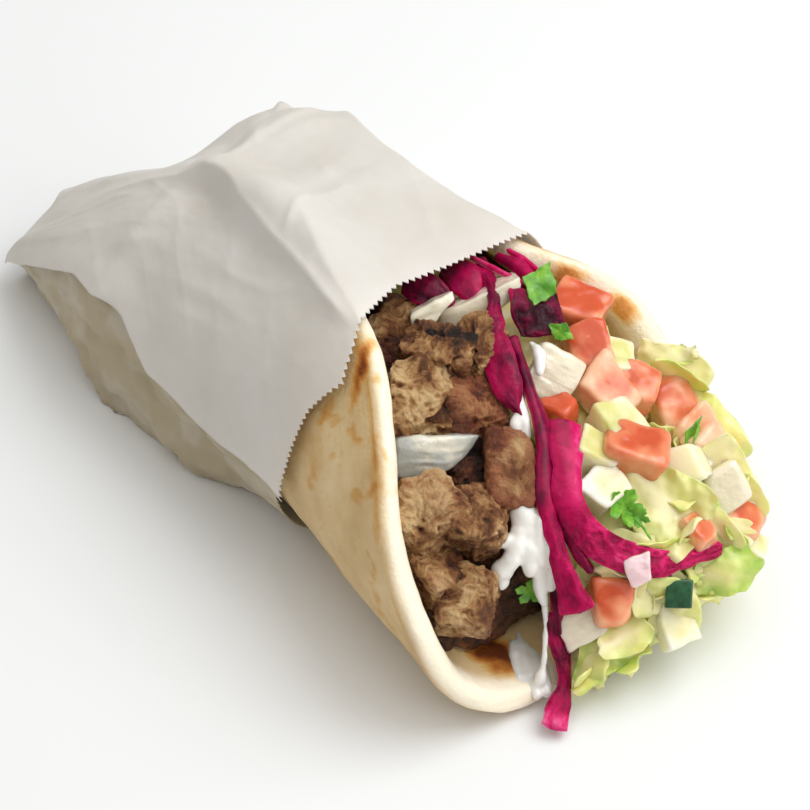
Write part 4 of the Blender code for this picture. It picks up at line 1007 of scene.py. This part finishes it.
# ------------------------------------------------------------------------------------ sauce
# Thick yoghurt sauce, poured over: opaque white with a wet shine, pooled between the meat and
# the salad, with drips and a thin strand over the bread's lip.  Each pour is a list of stations
# along it (place and radius); all pours of a run are joined into one skin and relaxed.
SAUCE = (
    (((76.5, -13.5, 45, 1.6), (78.5, -14, 44, 2.6), (80, -14, 42.5, 3), (81.5, -16, 40.5, 2.8),
      (83.5, -19.5, 38, 2.6), (84, -22, 35.5, 2.5), (83.5, -24, 33, 2.4), (84.5, -25, 30, 1.9)),
     ((82, -18.5, 39.6, 2), (81, -22, 39.5, 1.5), (79, -24.5, 38.5, 1.1), (78, -26, 37.5, 1)),
     ((84, -12.5, 43, 2.2), (85.5, -14, 40, 2.4), (87, -15.5, 35, 2.2), (88, -16, 30.8, 2),
      (90.2, -17.5, 27, 1.7), (92.1, -17.8, 24, 1.2)),
     ((82, -14, 41.5, 2.6), (85, -17, 37.5, 2.4), (87.5, -18.5, 32.5, 1.8)),
     ((88.6, -13.5, 40.5, 1), (89.5, -13.8, 38.5, 1.5), (91, -14.5, 33, 1.4), (92, -15.5, 28, 1)),
     ((60, 1.5, 58, 0.9), (62.5, -0.5, 57, 1.5), (65, -1.6, 55, 1.7), (68, -3, 52, 0.9)),
     ((63, 0.5, 56, 0.9), (64, -3, 55.5, 1.4), (66, -4.8, 53, 1)),
     ((50.8, 13.5, 60.6, 0.9), (53.5, 13, 60.6, 1.7), (56.3, 11.4, 60.2, 1.7), (58.5, 9.3, 59.2, 1))),
    (((91, -17, 26, 1), (93, -18.2, 22, 1), (96.4, -21, 15.5, 0.8), (98.6, -23.2, 11, 0.9),
      (99.5, -25, 7.2, 1.3)),
     ((84.5, -18.5, 5.4, 1), (88.5, -21, 5.2, 1.6), (93, -23.5, 5.2, 1.9), (97, -25.5, 5, 1.9),
      (101, -27, 4.4, 1.5)),
     ((87, -18, 5, 1), (92, -20, 4.8, 1.7), (98, -22.5, 4.7, 1.9), (101.5, -24.5, 4, 1.4)),
     ((86, -21.5, 5.6, 1), (90, -24.8, 5.4, 1.5), (94, -27.2, 5.3, 1.7), (97.5, -28.5, 5, 1.3))),
)
# Yoghurt sauce: thick, opaque white, smooth and wet.
sauce_skin, *_ = skin(
    "yoghurt sauce", Base_Color=colour("#F1EEE8"), Roughness=0.2, Subsurface_Weight=0.5,
    Subsurface_Radius=(1, 0.9, 0.8), Subsurface_Scale=0.003, Coat_Weight=0.3, Coat_Roughness=0.08)
ball, ball_quads = cube_shell(6)
for i, pours in enumerate(SAUCE, 1):
    drops = np.concatenate([smooth_path(pour, 40) for pour in pours])
    swell = 1 + 0.25 * rough(drops[:, :3], 2.5, 720, 2)
    points = drops[:, None, :3] + ball * (drops[:, 3] * swell)[:, None, None]
    faces = (ball_quads + len(ball) * np.arange(len(drops))[:, None, None]).reshape(-1, 4)
    points, normal, quads = even_mesh(points.reshape(-1, 3), [faces], 0.45, 6)
    points = points + normal * (0.22 * rough(points, 3, 710 + i, 2))[:, None]
    piece(f"yoghurt_pour_{i:02d}", "sauce", [f"sauce_{i:02d}"], points, [quads], sauce_skin)

# ------------------------------------------------------------------------------------ studio
# A plain white sweep, a broad soft light from behind the far side and a pale surround.
floor_skin, *_ = skin("white sweep", Base_Color=(0.82, 0.83, 0.835, 1), Roughness=0.9)
bpy.ops.mesh.primitive_plane_add(size=6, location=(0, 0, 0))
floor = bpy.context.object
floor.name = "studio_floor"
floor.data.materials.append(floor_skin)

world = bpy.data.worlds.new("pale surround")
world.use_nodes = True
world.node_tree.nodes["Background"].inputs["Color"].default_value = (1, 0.96, 0.89, 1)
world.node_tree.nodes["Background"].inputs["Strength"].default_value = 0.39
bpy.context.scene.world = world

for name, at, size, power in (("key", (0.25, 0.45, 0.9), 0.75, 5.5), ("top", (0.15, 0.1, 1.4), 2.2, 13),
                              ("side", (0.95, 0.25, 0.45), 0.8, 2.5)):
    lamp = bpy.data.lights.new(name, "AREA")
    lamp.shape, lamp.size, lamp.energy, lamp.color = "SQUARE", size, power, (0.97, 0.99, 1)
    made = bpy.data.objects.new(name, lamp)
    made.location = at
    way = -unit(np.array(at))
    made.rotation_euler = (float(np.arccos(-way[2])), 0, float(np.arctan2(way[1], way[0]) - np.pi / 2))
    bpy.context.scene.collection.objects.link(made)

# The camera stands 650 mm from the filling, 46 degrees up, looking in at the open end.
AZIMUTH, ELEVATION, DISTANCE, LENS = 50, 46, 650, 115.56
turn, rise = np.radians(AZIMUTH), np.radians(ELEVATION)
back = np.array([np.sin(turn) * np.cos(rise), -np.cos(turn) * np.cos(rise), np.sin(rise)])
right = np.array([np.cos(turn), np.sin(turn), 0])
above = np.cross(back, right)
camera = bpy.data.objects.new("camera", bpy.data.cameras.new("camera"))
camera.data.lens, camera.data.sensor_width = LENS, 36
stand = (TARGET + ROLL + DISTANCE * back) * MM
camera.matrix_world = Matrix([(*row, at) for row, at in zip(np.stack([right, above, back], 1), stand)]
                             + [(0, 0, 0, 1)])
bpy.context.scene.collection.objects.link(camera)
bpy.context.scene.camera = camera
bpy.context.scene.view_settings.view_transform = "Standard"
